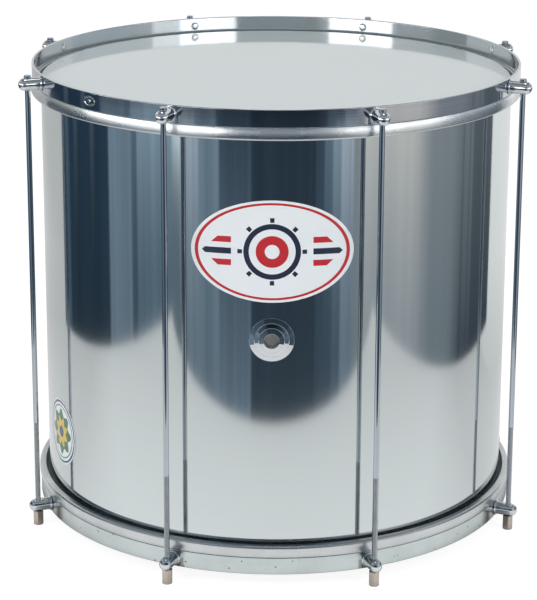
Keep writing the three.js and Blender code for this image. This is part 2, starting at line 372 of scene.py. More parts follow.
class Graph:
    """A node tree with short calls to add and join nodes."""

    MIX_SHARE, MIX_A, MIX_B, MIX_COLOUR = 0, 6, 7, 2
    MIX_NUMBER_A, MIX_NUMBER_B, MIX_NUMBER = 2, 3, 0

    def __init__(self, tree: bpy.types.NodeTree) -> None:
        """Takes over an empty tree."""
        self.tree = tree

    @classmethod
    def of_material(cls, name: str) -> tuple[bpy.types.Material, "Graph"]:
        """A new material with no nodes.

        Args:
            name: its name.

        Returns:
            The material and its graph.
        """
        made = bpy.data.materials.new(name)
        made.use_nodes = True
        made.node_tree.nodes.clear()
        return made, cls(made.node_tree)

    def surface(self, shader: bpy.types.Node, kind: str = "ShaderNodeOutputMaterial") -> None:
        """Makes a shader the surface of the material or the world."""
        self.feed(self.node(kind), "Surface", shader.outputs[0])

    def node(self, kind: str, **settings: object) -> bpy.types.Node:
        """Adds a node and sets its properties.

        Args:
            kind: the node's type.
            settings: its properties and their values.

        Returns:
            The new node.
        """
        made = self.tree.nodes.new(kind)
        for key, value in settings.items():
            setattr(made, key, value)
        return made

    def feed(self, node: bpy.types.Node, name: "str | int", source: object) -> None:
        """Joins an output to an input, or sets a plain value on it.

        Args:
            node: the node that is fed.
            name: its input's name or place.
            source: an output, a plain value, or None to leave the input as it is.
        """
        if isinstance(source, Socket):
            self.tree.links.new(source, node.inputs[name])
        elif source is not None:
            node.inputs[name].default_value = source

    def math(self, operation: str, a: object, b: object = None, c: object = None) -> Socket:
        """One Math node.

        Args:
            operation: what it does.
            a: its first input, a socket or a number.
            b: its second input.
            c: its third input.

        Returns:
            Its output.
        """
        made = self.node("ShaderNodeMath", operation=operation)
        for place, source in enumerate((a, b, c)):
            self.feed(made, place, source)
        return made.outputs[0]

    def mixed(self, share: object, a: object, b: object) -> Socket:
        """One colour Mix node.

        Args:
            share: how much of b it takes.
            a: a colour or an output.
            b: the other colour or output.

        Returns:
            Its output.
        """
        made = self.node("ShaderNodeMix", data_type="RGBA")
        for name, source in ((self.MIX_SHARE, share), (self.MIX_A, a), (self.MIX_B, b)):
            self.feed(made, name, source if isinstance(source, (Socket, float)) else (*source, 1))
        return made.outputs[self.MIX_COLOUR]

    def mixed_number(self, share: Socket, a: object, b: object) -> Socket:
        """One number Mix node.

        Args:
            share: how much of b it takes.
            a: a number or an output.
            b: the other number or output.

        Returns:
            Its output.
        """
        made = self.node("ShaderNodeMix", data_type="FLOAT")
        for name, source in (
            (self.MIX_SHARE, share), (self.MIX_NUMBER_A, a), (self.MIX_NUMBER_B, b)):
            self.feed(made, name, source)
        return made.outputs[self.MIX_NUMBER]

    def ranged(self, source: Socket, old: Span, new: Span) -> Socket:
        """One clamped Map Range node.

        Args:
            source: the value that it maps.
            old: the range that the value comes from.
            new: the range that it is brought to.

        Returns:
            Its output.
        """
        made = self.node("ShaderNodeMapRange")
        for place, value in enumerate((source, *old, *new)):
            self.feed(made, place, value)
        return made.outputs[0]

    def noise(self, place: Socket, scale: object, detail: float) -> Socket:
        """One Noise Texture node.

        Args:
            place: the coordinate that it reads.
            scale: its scale, a socket or a number.
            detail: its detail.

        Returns:
            Its value, from 0 to 1.
        """
        made = self.node("ShaderNodeTexNoise")
        for name, source in (("Vector", place), ("Scale", scale), ("Detail", detail)):
            self.feed(made, name, source)
        return made.outputs["Fac"]

    def axes(self, source: Socket) -> Sequence[Socket]:
        """The three parts of a vector."""
        made = self.node("ShaderNodeSeparateXYZ")
        self.feed(made, 0, source)
        return made.outputs

    def object_place(self) -> Socket:
        """The Object texture coordinate."""
        return self.node("ShaderNodeTexCoord").outputs["Object"]

    def group(self, made: bpy.types.NodeTree, **values: object) -> bpy.types.Node:
        """Places a node group and sets its inputs.

        Args:
            made: the group's tree.
            values: its inputs, each a socket or a number.

        Returns:
            The group's node.
        """
        node = self.node("ShaderNodeGroup", node_tree=made)
        for key, value in values.items():
            self.feed(node, key, value)
        return node


def new_group(
    name: str, inputs: Sequence[tuple[str, str, float]], outputs: Sequence[tuple[str, str]]
) -> tuple[bpy.types.NodeTree, bpy.types.Node, bpy.types.Node]:
    """Starts a shader node group.

    Args:
        name: the group's name.
        inputs: name, kind and default of each input.
        outputs: name and kind of each output.

    Returns:
        The tree, its input node and its output node.
    """
    tree = bpy.data.node_groups.new(name, "ShaderNodeTree")
    for label, kind, value in inputs:
        socket = tree.interface.new_socket(label, in_out="INPUT", socket_type=kind)
        if kind == "NodeSocketFloat":
            socket.default_value = value
    for label, kind in outputs:
        tree.interface.new_socket(label, in_out="OUTPUT", socket_type=kind)
    return tree, tree.nodes.new("NodeGroupInput"), tree.nodes.new("NodeGroupOutput")


class Effects:
    """The node groups that more than one finish uses, each built on first use."""

    SPECK_REACH = 0.16
    PATCH_SCALE = 31.0
    PATCH_LIMIT = (-0.5, 0.75)

    _made: dict[str, bpy.types.NodeTree] = {}

    @classmethod
    def grain(cls) -> bpy.types.NodeTree:
        """Fine lines, drawn out by unequal scales: Around and Up, in lines a metre.

        Returns:
            The group's tree.
        """
        if "grain" not in cls._made:
            tree, inlet, outlet = new_group(
                "grain",
                [("Place", "NodeSocketVector", 0), ("Around", "NodeSocketFloat", 20),
                 ("Up", "NodeSocketFloat", 900)],
                [("Lines", "NodeSocketFloat")])
            graph = Graph(tree)
            scale = graph.node("ShaderNodeCombineXYZ")
            for axis, source in (("X", "Around"), ("Y", "Around"), ("Z", "Up")):
                graph.feed(scale, axis, inlet.outputs[source])
            stretched = graph.node("ShaderNodeVectorMath", operation="MULTIPLY")
            graph.feed(stretched, 0, inlet.outputs["Place"])
            graph.feed(stretched, 1, scale.outputs[0])
            graph.feed(outlet, "Lines", graph.noise(stretched.outputs[0], 1.0, 3.0))
            cls._made["grain"] = tree
        return cls._made["grain"]

    @classmethod
    def handling(cls) -> bpy.types.NodeTree:
        """Soft smears of handling: roughness that drifts by Spread about Level.

        Returns:
            The group's tree.
        """
        if "handling" not in cls._made:
            tree, inlet, outlet = new_group(
                "handling",
                [("Place", "NodeSocketVector", 0), ("Scale", "NodeSocketFloat", 9),
                 ("Level", "NodeSocketFloat", 0.1), ("Spread", "NodeSocketFloat", 0.05)],
                [("Roughness", "NodeSocketFloat"), ("Smear", "NodeSocketFloat")])
            graph = Graph(tree)
            smear = graph.noise(inlet.outputs["Place"], inlet.outputs["Scale"], 4.0)
            centred = graph.math("SUBTRACT", smear, 0.5)
            spread = graph.math("MULTIPLY", centred, inlet.outputs["Spread"])
            graph.feed(outlet, "Roughness", graph.math("ADD", spread, inlet.outputs["Level"]))
            graph.feed(outlet, "Smear", smear)
            cls._made["handling"] = tree
        return cls._made["handling"]

    @classmethod
    def ripples(cls) -> bpy.types.NodeTree:
        """The unevenness of a rolled or drawn ring: soft waves, Scale of them a metre.

        Returns:
            The group's tree.
        """
        if "ripples" not in cls._made:
            tree, inlet, outlet = new_group(
                "ripples",
                [("Place", "NodeSocketVector", 0), ("Scale", "NodeSocketFloat", 25)],
                [("Height", "NodeSocketFloat")])
            graph = Graph(tree)
            wave = graph.noise(inlet.outputs["Place"], inlet.outputs["Scale"], 2.0)
            graph.feed(outlet, "Height", wave)
            cls._made["ripples"] = tree
        return cls._made["ripples"]

    @classmethod
    def pits(cls) -> bpy.types.NodeTree:
        """A mask of small scattered specks: Density of them, from 0 to 1.

        Returns:
            The group's tree.
        """
        if "pits" not in cls._made:
            tree, inlet, outlet = new_group(
                "pits",
                [("Place", "NodeSocketVector", 0), ("Scale", "NodeSocketFloat", 120),
                 ("Density", "NodeSocketFloat", 0.2)],
                [("Mask", "NodeSocketFloat")])
            graph = Graph(tree)
            cells = graph.node("ShaderNodeTexVoronoi")
            graph.feed(cells, "Vector", inlet.outputs["Place"])
            graph.feed(cells, "Scale", inlet.outputs["Scale"])
            near = graph.math("LESS_THAN", cells.outputs["Distance"], cls.SPECK_REACH)
            patches = graph.noise(inlet.outputs["Place"], cls.PATCH_SCALE, 2.0)
            limit = graph.math("MULTIPLY_ADD", inlet.outputs["Density"], *cls.PATCH_LIMIT)
            chosen = graph.math("GREATER_THAN", patches, limit)
            graph.feed(outlet, "Mask", graph.math("MULTIPLY", near, chosen))
            cls._made["pits"] = tree
        return cls._made["pits"]


# Finishes


class Finish:
    """A finish: its name, its slot and its material, built once."""

    name: str
    slot: str
    _built: dict[str, bpy.types.Material] = {}

    def material(self) -> bpy.types.Material:
        """The material of this finish, built on first use.

        Returns:
            The material.
        """
        if self.name not in Finish._built:
            made, graph = Graph.of_material(self.name)
            shader = graph.node("ShaderNodeBsdfPrincipled")
            self.dress(graph, shader)
            graph.surface(shader)
            Finish._built[self.name] = made
        return Finish._built[self.name]

    def dress(self, graph: Graph, shader: bpy.types.Node) -> None:
        """Sets up the shader's inputs.

        Args:
            graph: the material's graph.
            shader: its Principled shader.
        """
        raise NotImplementedError


def shaded(colour: Colour, share: float) -> Colour:
    """A colour with only a share of its light."""
    return tuple(part * share for part in colour)


@dataclass(frozen=True)
class Metal(Finish):
    """A metal with drawn or polished lines round the drum and smears of handling."""

    name: str
    slot: str
    colour: Colour
    roughness: float
    spread: float = 0.03
    anisotropic: float = 0.0
    anisotropic_turn: float = 0.25
    lines_around: float = 20
    lines_up: float = 900
    line_depth: float = 0.0
    line_shade: float = 0.04
    smear_scale: float = 9
    smear_shade: float = 0.0
    smear_range: Span = (0.35, 0.65)
    smear_share: float = 0.8
    ripple_depth: float = 0.0
    ripple_scale: float = 25
    pits: float = 0.0
    pit_shade: float = 0.55

    def dress(self, graph: Graph, shader: bpy.types.Node) -> None:
        """Sets up the metal's inputs.

        Args:
            graph: the material's graph.
            shader: its Principled shader.
        """
        place = graph.object_place()
        shader.inputs["Metallic"].default_value = 1.0
        shader.inputs["Anisotropic"].default_value = self.anisotropic
        shader.inputs["Anisotropic Rotation"].default_value = self.anisotropic_turn
        handling = graph.group(
            Effects.handling(), Place=place, Scale=self.smear_scale, Level=self.roughness,
            Spread=self.spread)
        graph.feed(shader, "Roughness", handling.outputs["Roughness"])
        grain = graph.group(
            Effects.grain(), Place=place, Around=float(self.lines_around), Up=float(self.lines_up))
        darker = shaded(self.colour, 1 - 2 * self.line_shade)
        tone = graph.mixed(grain.outputs["Lines"], darker, self.colour)
        if self.smear_shade:
            patches = graph.ranged(handling.outputs["Smear"], self.smear_range, (0.0, 1.0))
            share = graph.math("MULTIPLY", patches, self.smear_share)
            tone = graph.mixed(share, tone, shaded(self.colour, 1 - self.smear_shade))
        if self.pits:
            specks = graph.group(Effects.pits(), Place=place, Density=self.pits)
            pitted = shaded(self.colour, 1 - self.pit_shade)
            tone = graph.mixed(specks.outputs["Mask"], tone, pitted)
        graph.feed(shader, "Base Color", tone)
        if self.line_depth or self.ripple_depth:
            ripples = graph.group(
                Effects.ripples(), Place=place, Scale=float(self.ripple_scale))
            wave = graph.math("MULTIPLY", ripples.outputs["Height"], self.ripple_depth)
            bump = graph.node("ShaderNodeBump")
            bump.inputs["Distance"].default_value = MM
            graph.feed(bump, "Height", graph.math(
                "MULTIPLY_ADD", grain.outputs["Lines"], self.line_depth, wave))
            graph.feed(shader, "Normal", bump.outputs[0])


@dataclass(frozen=True)
class Film(Finish):
    """Smooth translucent polyester film."""

    name: str = "head_film"
    slot: str = "head_film"
    colour: Colour = (0.56, 0.625, 0.635)
    cloud_share: float = 0.965
    ior: float = 1.62
    transmission: float = 0.25
    roughness: float = 0.07
    spread: float = 0.05
    smear_scale: float = 5.0

    def dress(self, graph: Graph, shader: bpy.types.Node) -> None:
        """Sets up the film's inputs.

        Args:
            graph: the material's graph.
            shader: its Principled shader.
        """
        shader.inputs["IOR"].default_value = self.ior
        shader.inputs["Transmission Weight"].default_value = self.transmission
        handling = graph.group(
            Effects.handling(), Place=graph.object_place(), Scale=self.smear_scale,
            Level=self.roughness, Spread=self.spread)
        graph.feed(shader, "Roughness", handling.outputs["Roughness"])
        cloudy = shaded(self.colour, self.cloud_share)
        graph.feed(
            shader, "Base Color", graph.mixed(handling.outputs["Smear"], self.colour, cloudy))


@dataclass(frozen=True)
class Print(Finish):
    """A printed glossy label: inks laid on a white ground from the plate's own outline map."""

    name: str = "label_print"
    slot: str = "polished_aluminium"
    half_width: float = 40
    half_height: float = 40
    ground: Colour = (0.79, 0.83, 0.86)
    red: Colour = (0.52, 0.025, 0.035)
    ink: Colour = (0.022, 0.032, 0.060)
    coat: float = 0.25
    roughness: float = 0.22
    spread: float = 0.08
    smear_scale: float = 30.0

    def dress(self, graph: Graph, shader: bpy.types.Node) -> None:
        """Sets up the label's inputs.

        Args:
            graph: the material's graph.
            shader: its Principled shader.
        """
        shader.inputs["Coat Weight"].default_value = self.coat
        axes = graph.axes(graph.node("ShaderNodeUVMap", uv_map="outline").outputs[0])
        x = graph.math("MULTIPLY_ADD", axes[0], 2 * self.half_width, -self.half_width)
        y = graph.math("MULTIPLY_ADD", axes[1], 2 * self.half_height, -self.half_height)
        tone: object = self.ground
        for ink, mask in self.inks(graph, x, y, self.length(graph, x, y)):
            tone = graph.mixed(mask, tone, ink)
        graph.feed(shader, "Base Color", tone)
        handling = graph.group(
            Effects.handling(), Place=graph.object_place(), Scale=self.smear_scale,
            Level=self.roughness, Spread=self.spread)
        graph.feed(shader, "Roughness", handling.outputs["Roughness"])

    def length(self, graph: Graph, x: Socket, y: Socket) -> Socket:
        """The length of the vector (x, y)."""
        squares = (graph.math("MULTIPLY", part, part) for part in (x, y))
        return graph.math("SQRT", graph.math("ADD", *squares))

    def petals(self, graph: Graph, x: Socket, y: Socket, count: int) -> Socket:
        """A wave that rises from -1 to 1 and falls again count times round the middle."""
        angle = graph.math("ARCTAN2", y, x)
        return graph.math("COSINE", graph.math("MULTIPLY", angle, float(count)))

    def inks(
        self, graph: Graph, x: Socket, y: Socket, reach: Socket
    ) -> Sequence[tuple[Colour, Socket]]:
        """The inks in order, each with the mask where it lies.

        Args:
            graph: the material's graph.
            x: distance across from the middle, in millimetres.
            y: distance up from the middle, in millimetres.
            reach: distance from the middle, in millimetres.

        Returns:
            Colours and masks.
        """
        raise NotImplementedError


@dataclass(frozen=True)
class OvalPrint(Print):
    """A drum seen from above, between tapering stripes, inside a thin red line.

    A pair is the middle of a ring or stripe and half its width.
    """

    name: str = "oval_label_print"
    half_width: float = 90.5
    half_height: float = 57.75
    border: Span = (0.93, 0.022)
    hoop: Span = (28.5, 3.0)
    rods: Span = (35.5, 2.6)
    rod_wave: float = 0.86
    drum: float = 18.0
    hub: float = 8.0
    middle_stripe: Span = (0.0, 3.4)
    outer_stripe: Span = (13.0, 3.4)
    stripe_start: float = 45.0
    stripe_end: float = 78.0
    stripe_taper: float = 1.1

    def inks(
        self, graph: Graph, x: Socket, y: Socket, reach: Socket
    ) -> Sequence[tuple[Colour, Socket]]:
        """The inks of the oval label.

        Args:
            graph: the material's graph.
            x: distance across from the middle, in millimetres.
            y: distance up from the middle, in millimetres.
            reach: distance from the middle, in millimetres.

        Returns:
            Colours and masks.
        """
        oval = self.length(
            graph, graph.math("DIVIDE", x, self.half_width),
            graph.math("DIVIDE", y, self.half_height))
        wave = self.petals(graph, x, y, LUG_COUNT)
        rods = graph.math("MULTIPLY", graph.math("COMPARE", reach, *self.rods),
                          graph.math("GREATER_THAN", wave, self.rod_wave))
        side = graph.math("ABSOLUTE", x)
        height = graph.math("ABSOLUTE", y)
        slope = graph.math("MULTIPLY_ADD", height, -self.stripe_taper, self.stripe_end)
        beside = graph.math("MULTIPLY", graph.math("LESS_THAN", side, slope),
                            graph.math("GREATER_THAN", side, self.stripe_start))
        middle, outer = (
            graph.math("MULTIPLY", beside, graph.math("COMPARE", height, *stripe))
            for stripe in (self.middle_stripe, self.outer_stripe))
        return [
            (self.red, graph.math("COMPARE", oval, *self.border)),
            (self.ink, graph.math("COMPARE", reach, *self.hoop)),
            (self.ink, rods),
            (self.red, graph.math("LESS_THAN", reach, self.drum)),
            (self.ground, graph.math("LESS_THAN", reach, self.hub)),
            (self.ink, middle),
            (self.red, outer),
        ]


@dataclass(frozen=True)
class RoundPrint(Print):
    """A green and yellow rosette inside two thin rings.

    A ring's pair is its middle and half its width, a flower's pair its wave and its middle.
    """

    name: str = "round_label_print"
    green: Colour = (0.030, 0.160, 0.060)
    yellow: Colour = (0.680, 0.480, 0.040)
    blue: Colour = (0.020, 0.050, 0.160)
    petal_count: int = 8
    outer_ring: Span = (37.0, 1.3)
    inner_ring: Span = (32.0, 0.8)
    large_flower: Span = (3.5, 25.0)
    small_flower: Span = (-3.0, 16.0)
    heart: float = 7.0

    def inks(
        self, graph: Graph, x: Socket, y: Socket, reach: Socket
    ) -> Sequence[tuple[Colour, Socket]]:
        """The inks of the round label.

        Args:
            graph: the material's graph.
            x: distance across from the middle, in millimetres.
            y: distance up from the middle, in millimetres.
            reach: distance from the middle, in millimetres.

        Returns:
            Colours and masks.
        """
        wave = self.petals(graph, x, y, self.petal_count)
        large, small = (
            graph.math("LESS_THAN", reach, graph.math("MULTIPLY_ADD", wave, *flower))
            for flower in (self.large_flower, self.small_flower))
        return [
            (self.blue, graph.math("COMPARE", reach, *self.outer_ring)),
            (self.green, graph.math("COMPARE", reach, *self.inner_ring)),
            (self.green, large),
            (self.yellow, small),
            (self.blue, graph.math("LESS_THAN", reach, self.heart)),
        ]


class Metals:
    """The drum's metals."""

    POLISHED = Metal(
        "polished_shell_aluminium", "polished_aluminium", (0.665, 0.715, 0.72), 0.080,
        spread=0.04, anisotropic=0.5, lines_around=3, lines_up=520, line_shade=0.03,
        smear_scale=5, smear_shade=0.04)
    MILLED = Metal(
        "milled_shell_inside", "polished_aluminium", (0.62, 0.60, 0.57), 0.55, spread=0.08,
        lines_around=5, lines_up=300, line_shade=0.06)
    SATIN = Metal(
        "satin_flesh_hoop_aluminium", "satin_aluminium", (0.74, 0.77, 0.78), 0.28, spread=0.18,
        lines_around=14, lines_up=700, line_depth=0.02, line_shade=0.14, smear_scale=26,
        smear_shade=0.24, ripple_depth=0.34, ripple_scale=28)
    HOOP_CHROME = Metal(
        "batter_hoop_chrome", "hoop_chrome", (0.62, 0.66, 0.69), 0.10, spread=0.10,
        anisotropic=0.5, lines_around=9, lines_up=900, line_depth=0.01, line_shade=0.12,
        smear_scale=24, ripple_depth=0.05, ripple_scale=18)
    HOOP_STEEL = Metal(
        "resonant_hoop_steel", "hoop_steel", (0.62, 0.68, 0.68), 0.20, spread=0.08,
        lines_around=8, lines_up=500, line_depth=0.006, line_shade=0.05, smear_scale=26,
        smear_shade=0.16, ripple_depth=0.08, ripple_scale=20, pits=0.5)
    CHROME = Metal(
        "lug_chrome", "chrome", (0.70, 0.73, 0.76), 0.045, lines_around=60, lines_up=60,
        smear_scale=60)
    # Painted shade: the rods' chrome is a darker, bluer copy of the lugs' chrome, for the dark
    # room that the rods mirror.
    ROD = Metal(
        "rod_chrome_painted_shade", "chrome", (0.50, 0.55, 0.60), 0.05, spread=0.04, lines_around=60,
        lines_up=60, smear_scale=50)
    THREAD = Metal(
        "thread_chrome", "chrome", (0.66, 0.70, 0.72), 0.15, spread=0.08, lines_around=300,
        lines_up=300, smear_scale=120)
    ZINC = Metal(
        "screw_zinc", "zinc_plate", (0.72, 0.74, 0.75), 0.24, spread=0.1, lines_around=200,
        lines_up=200, smear_scale=80)
    NICKEL = Metal(
        "nut_nickel", "nickel_brass", (0.58, 0.52, 0.45), 0.26, spread=0.12, lines_around=160,
        lines_up=420, line_depth=0.006, line_shade=0.10, smear_scale=90)


# Shell


@dataclass
class Shell:
    """The sheet aluminium tube, with both ends rolled inwards to a round bearing edge."""

    radius: float = 279.4
    wall: float = 1.5
    roll: float = 2.6
    roll_depth: float = 5.2
    low_edge: float = 32.65
    high_edge: float = 532.65
    vent_level: float = 290.15
    vent_hole: float = 9.95
    vent_collar: float = 16.0
    lip_round: float = 1.6
    foot_round: float = 0.4
    cut_past: float = 5.0
    inside_share: float = 0.8

    def _end(self, edge: float, outward: int) -> list[Corner]:
        """Corners of one rolled end, from the outside to the inside.

        Args:
            edge: height of the bearing edge.
            outward: 1 at the upper end, -1 at the lower one.

        Returns:
            The corners.
        """
        foot = edge - outward * self.roll_depth
        return [
            Corner(self.radius, edge, self.roll),
            Corner(self.radius - 2 * self.roll, edge, self.roll),
            Corner(self.radius - 2 * self.roll, foot, self.lip_round),
            Corner(self.radius - self.wall, foot, self.foot_round),
        ]

    def build(self) -> None:
        """Makes the shell's piece."""
        upper = self._end(self.high_edge, 1)
        lower = self._end(self.low_edge, -1)
        blank = Blank.turned([*upper, *reversed(lower)], DRUM_STEPS, segments=6)
        for level in (self.vent_level - self.vent_collar, self.vent_level + self.vent_collar):
            blank.split(UP * level, UP)
        hole = Blank.bar(self.vent_hole, 0, self.radius + self.cut_past)
        hole.moved(Matrix.Rotation(math.pi / 2, 4, "X"))
        hole.moved(Matrix.Translation((0, 0, self.vent_level)))
        blank.cut(hole)
        inner = self.radius - self.wall * self.inside_share
        for face in blank.mesh.faces:
            middle = face.calc_center_median()
            face.material_index = int(math.hypot(middle.x, middle.y) < inner)
        make_piece(
            blank, "polished_shell", Metals.POLISHED, nodes=["shell"], inside=Metals.MILLED)


@dataclass
class Vent:
    """The stepped grommet in the shell and the ring nut that holds it from inside."""

    shell: Shell
    radius: float = 25
    step_radius: float = 19.5
    crown_radius: float = 14.5
    rim_height: float = 1.1
    ring_rise: float = 1.45
    ring_step: float = 0.45
    ring_round: float = 0.4
    bore: float = 8.35
    sleeve: float = 9.65
    sleeve_reach: float = 5
    nut_radius: float = 15
    nut_thickness: float = 2.5
    nut_drop: float = 3.0
    nut_lap: float = 1.0
    flange_depth: float = 2.0
    soft: float = 0.3
    crisp: float = 0.1
    lip_round: float = 0.5
    crease: float = math.radians(50)
    steps: int = 96

    def _faced(self, blank: Blank) -> Blank:
        """Turns a blank made about Z to face -Y at the vent's level."""
        blank.moved(Matrix.Rotation(math.pi / 2, 4, "X"))
        return blank.moved(Matrix.Translation((0, 0, self.shell.vent_level)))

    def _saddled(self, blank: Blank, radius: float, back: float) -> Blank:
        """Lays the flat back of a blank on a cylinder about the drum's axis.

        Args:
            blank: the form, facing -Y.
            radius: the cylinder's radius.
            back: distance of the flat back from the axis.

        Returns:
            The blank.
        """
        def lay(point: Vector) -> Vector:
            """Where one point comes to lie; only those of the flat back move."""
            if abs(point.y + back) < ON_PLANE:
                return Vector((point.x, -math.sqrt(radius ** 2 - point.x ** 2), point.z))
            return point

        return blank.reshaped(lay)

    def build(self) -> None:
        """Makes the grommet and its ring nut."""
        out = self.shell.radius
        rim = out + self.rim_height
        step = rim + self.ring_rise + self.ring_step
        crown = step + self.ring_rise + self.ring_step
        lip = crown + self.ring_rise
        back = out - self.flange_depth
        inside = out - self.shell.wall
        sleeve_end = inside - self.sleeve_reach
        grommet = Blank.turned([
            Corner(self.bore, sleeve_end, self.soft),
            Corner(self.sleeve, sleeve_end, self.soft),
            Corner(self.sleeve, back),
            Corner(self.radius, back),
            Corner(self.radius, rim, self.soft),
            Corner(self.step_radius, rim + self.ring_rise, self.crisp),
            Corner(self.step_radius - self.ring_round, step, self.crisp),
            Corner(self.crown_radius, step + self.ring_rise, self.crisp),
            Corner(self.crown_radius - self.ring_round, crown, self.crisp),
            Corner(self.bore, lip, self.lip_round),
        ], self.steps, segments=4)
        grommet = self._saddled(self._faced(grommet), out + SEAT_GAP, back)
        make_piece(
            grommet, "vent_stepped_grommet", Metals.CHROME, nodes=["vent_grommet"],
            sharp=self.crease)
        flat = inside - self.nut_drop
        seat = flat + self.nut_lap
        ring = Blank.turned([
            Corner(self.sleeve + SEAT_GAP, flat - self.nut_thickness, 0.2),
            Corner(self.nut_radius, flat - self.nut_thickness, self.lip_round),
            Corner(self.nut_radius, seat),
            Corner(self.sleeve + SEAT_GAP, seat),
        ], self.steps)
        ring = self._saddled(self._faced(ring), inside - SEAT_GAP, seat)
        make_piece(ring, "vent_clamp_ring", Metals.ZINC, nodes=["vent_ring_nut"])


# Heads and hoops


@dataclass
class HeadEnd:
    """One head with its flesh hoop and its counterhoop."""

    head: Head
    shell: Shell
    film: float = 0.25
    lock_level: float = -9.25
    lock_inner: float = 284.2
    lock_outer: float = 286.0
    lock_height: float = 1.4
    lock_play: float = 0.4
    flesh_inner: float = 283.8
    flesh_outer: float = 291.5
    flesh_foot: float = -16.25
    flesh_face: float = -2.25
    flesh_slope: float = 6.2
    hoop_inner: float = 287.0
    hoop_outer: float = 290.0
    hoop_seat: float = -1.95
    hoop_edge: float = 18.05
    hoop_shadow: float = 0.15

    def _at_head(self, corners: Sequence[Corner]) -> list[Corner]:
        """Heights counted outwards from the bearing edge become heights above the floor.

        Args:
            corners: the corners with heights from the bearing edge.

        Returns:
            The same corners with heights from the floor.
        """
        edge = self.shell.high_edge if self.head is Head.BATTER else self.shell.low_edge
        return [Corner(c.radius, edge + self.head.value * c.height, c.round) for c in corners]

    def _over_edge(self, stand_off: float, foot: float) -> Corner:
        """Where the film's flat and its collar would meet, if it didn't round the edge.

        Args:
            stand_off: from the bearing edge to this face of the film.
            foot: level at which this face of the collar reaches its lock.

        Returns:
            That corner, with the rounding that lays the film on the bearing edge.
        """
        radius = self.shell.roll + stand_off
        middle = Vector((self.shell.radius - self.shell.roll, -self.shell.roll))
        reach = Vector((self.lock_inner, foot)) - middle
        swing = math.atan2(reach.y, reach.x) + math.acos(radius / reach.length)
        half = (math.pi / 2 - swing) / 2
        run = radius * math.tan(half)
        return Corner(middle.x + run, middle.y + radius, run)

    def _film(self) -> None:
        """Makes the film, over the bearing edge and down into its lock."""
        half = self.lock_height / 2
        upper, lower = self.lock_level + self.film / 2, self.lock_level - self.film / 2
        outline = [
            Corner(0, SEAT_GAP),
            self._over_edge(SEAT_GAP, lower),
            Corner(self.lock_inner, lower),
            Corner(self.lock_outer, self.lock_level - half, 0.3),
            Corner(self.lock_outer, self.lock_level + half, 0.3),
            Corner(self.lock_inner, upper),
            self._over_edge(SEAT_GAP + self.film, upper),
            Corner(0, SEAT_GAP + self.film),
        ]
        blank = Blank.turned(self._at_head(outline), DRUM_STEPS, segments=5)
        word = self.head.word
        make_piece(blank, f"{word}_film", Film(), nodes=[f"{word}_head"])

    def _flesh_hoop(self) -> None:
        """Makes the flesh hoop, with the slot that holds the film."""
        slot = self.lock_height / 2 + self.lock_play
        floor = self.lock_outer + self.lock_play
        outline = [
            Corner(self.flesh_inner, self.flesh_foot, 0.8),
            Corner(self.flesh_outer, self.flesh_foot, 3.0),
            Corner(self.flesh_outer, self.flesh_face - self.flesh_slope, 4.0),
            Corner(self.hoop_outer + self.hoop_shadow, self.flesh_face, 0.5),
            Corner(self.flesh_inner, self.flesh_face, 0.4),
            Corner(self.flesh_inner, self.lock_level + slot, 0.2),
            Corner(floor, self.lock_level + slot),
            Corner(floor, self.lock_level - slot),
            Corner(self.flesh_inner, self.lock_level - slot, 0.2),
        ]
        blank = Blank.turned(self._at_head(outline), DRUM_STEPS, segments=5)
        word = self.head.word
        make_piece(blank, f"{word}_flesh_ring", Metals.SATIN, nodes=[f"{word}_flesh_hoop"])

    def _counterhoop(self) -> None:
        """Makes the flat band that the lugs pull on."""
        outline = [
            Corner(self.hoop_inner, self.hoop_seat, 0.5),
            Corner(self.hoop_outer, self.hoop_seat, 0.6),
            Corner(self.hoop_outer, self.hoop_edge, 0.8),
            Corner(self.hoop_inner, self.hoop_edge, 0.8),
        ]
        blank = Blank.turned(self._at_head(outline), DRUM_STEPS, segments=4)
        word = self.head.word
        finish = Metals.HOOP_CHROME if self.head is Head.BATTER else Metals.HOOP_STEEL
        make_piece(blank, f"{word}_hoop_band", finish, nodes=[f"{word}_counterhoop"])

    def build(self) -> None:
        """Makes this end's film and hoops."""
        self._film()
        self._flesh_hoop()
        self._counterhoop()

    @property
    def lug_level(self) -> float:
        """Height of the middle of this end's band, where its lugs are, above the floor."""
        middle = (self.hoop_seat + self.hoop_edge) / 2
        return self._at_head([Corner(0, middle)])[0].height


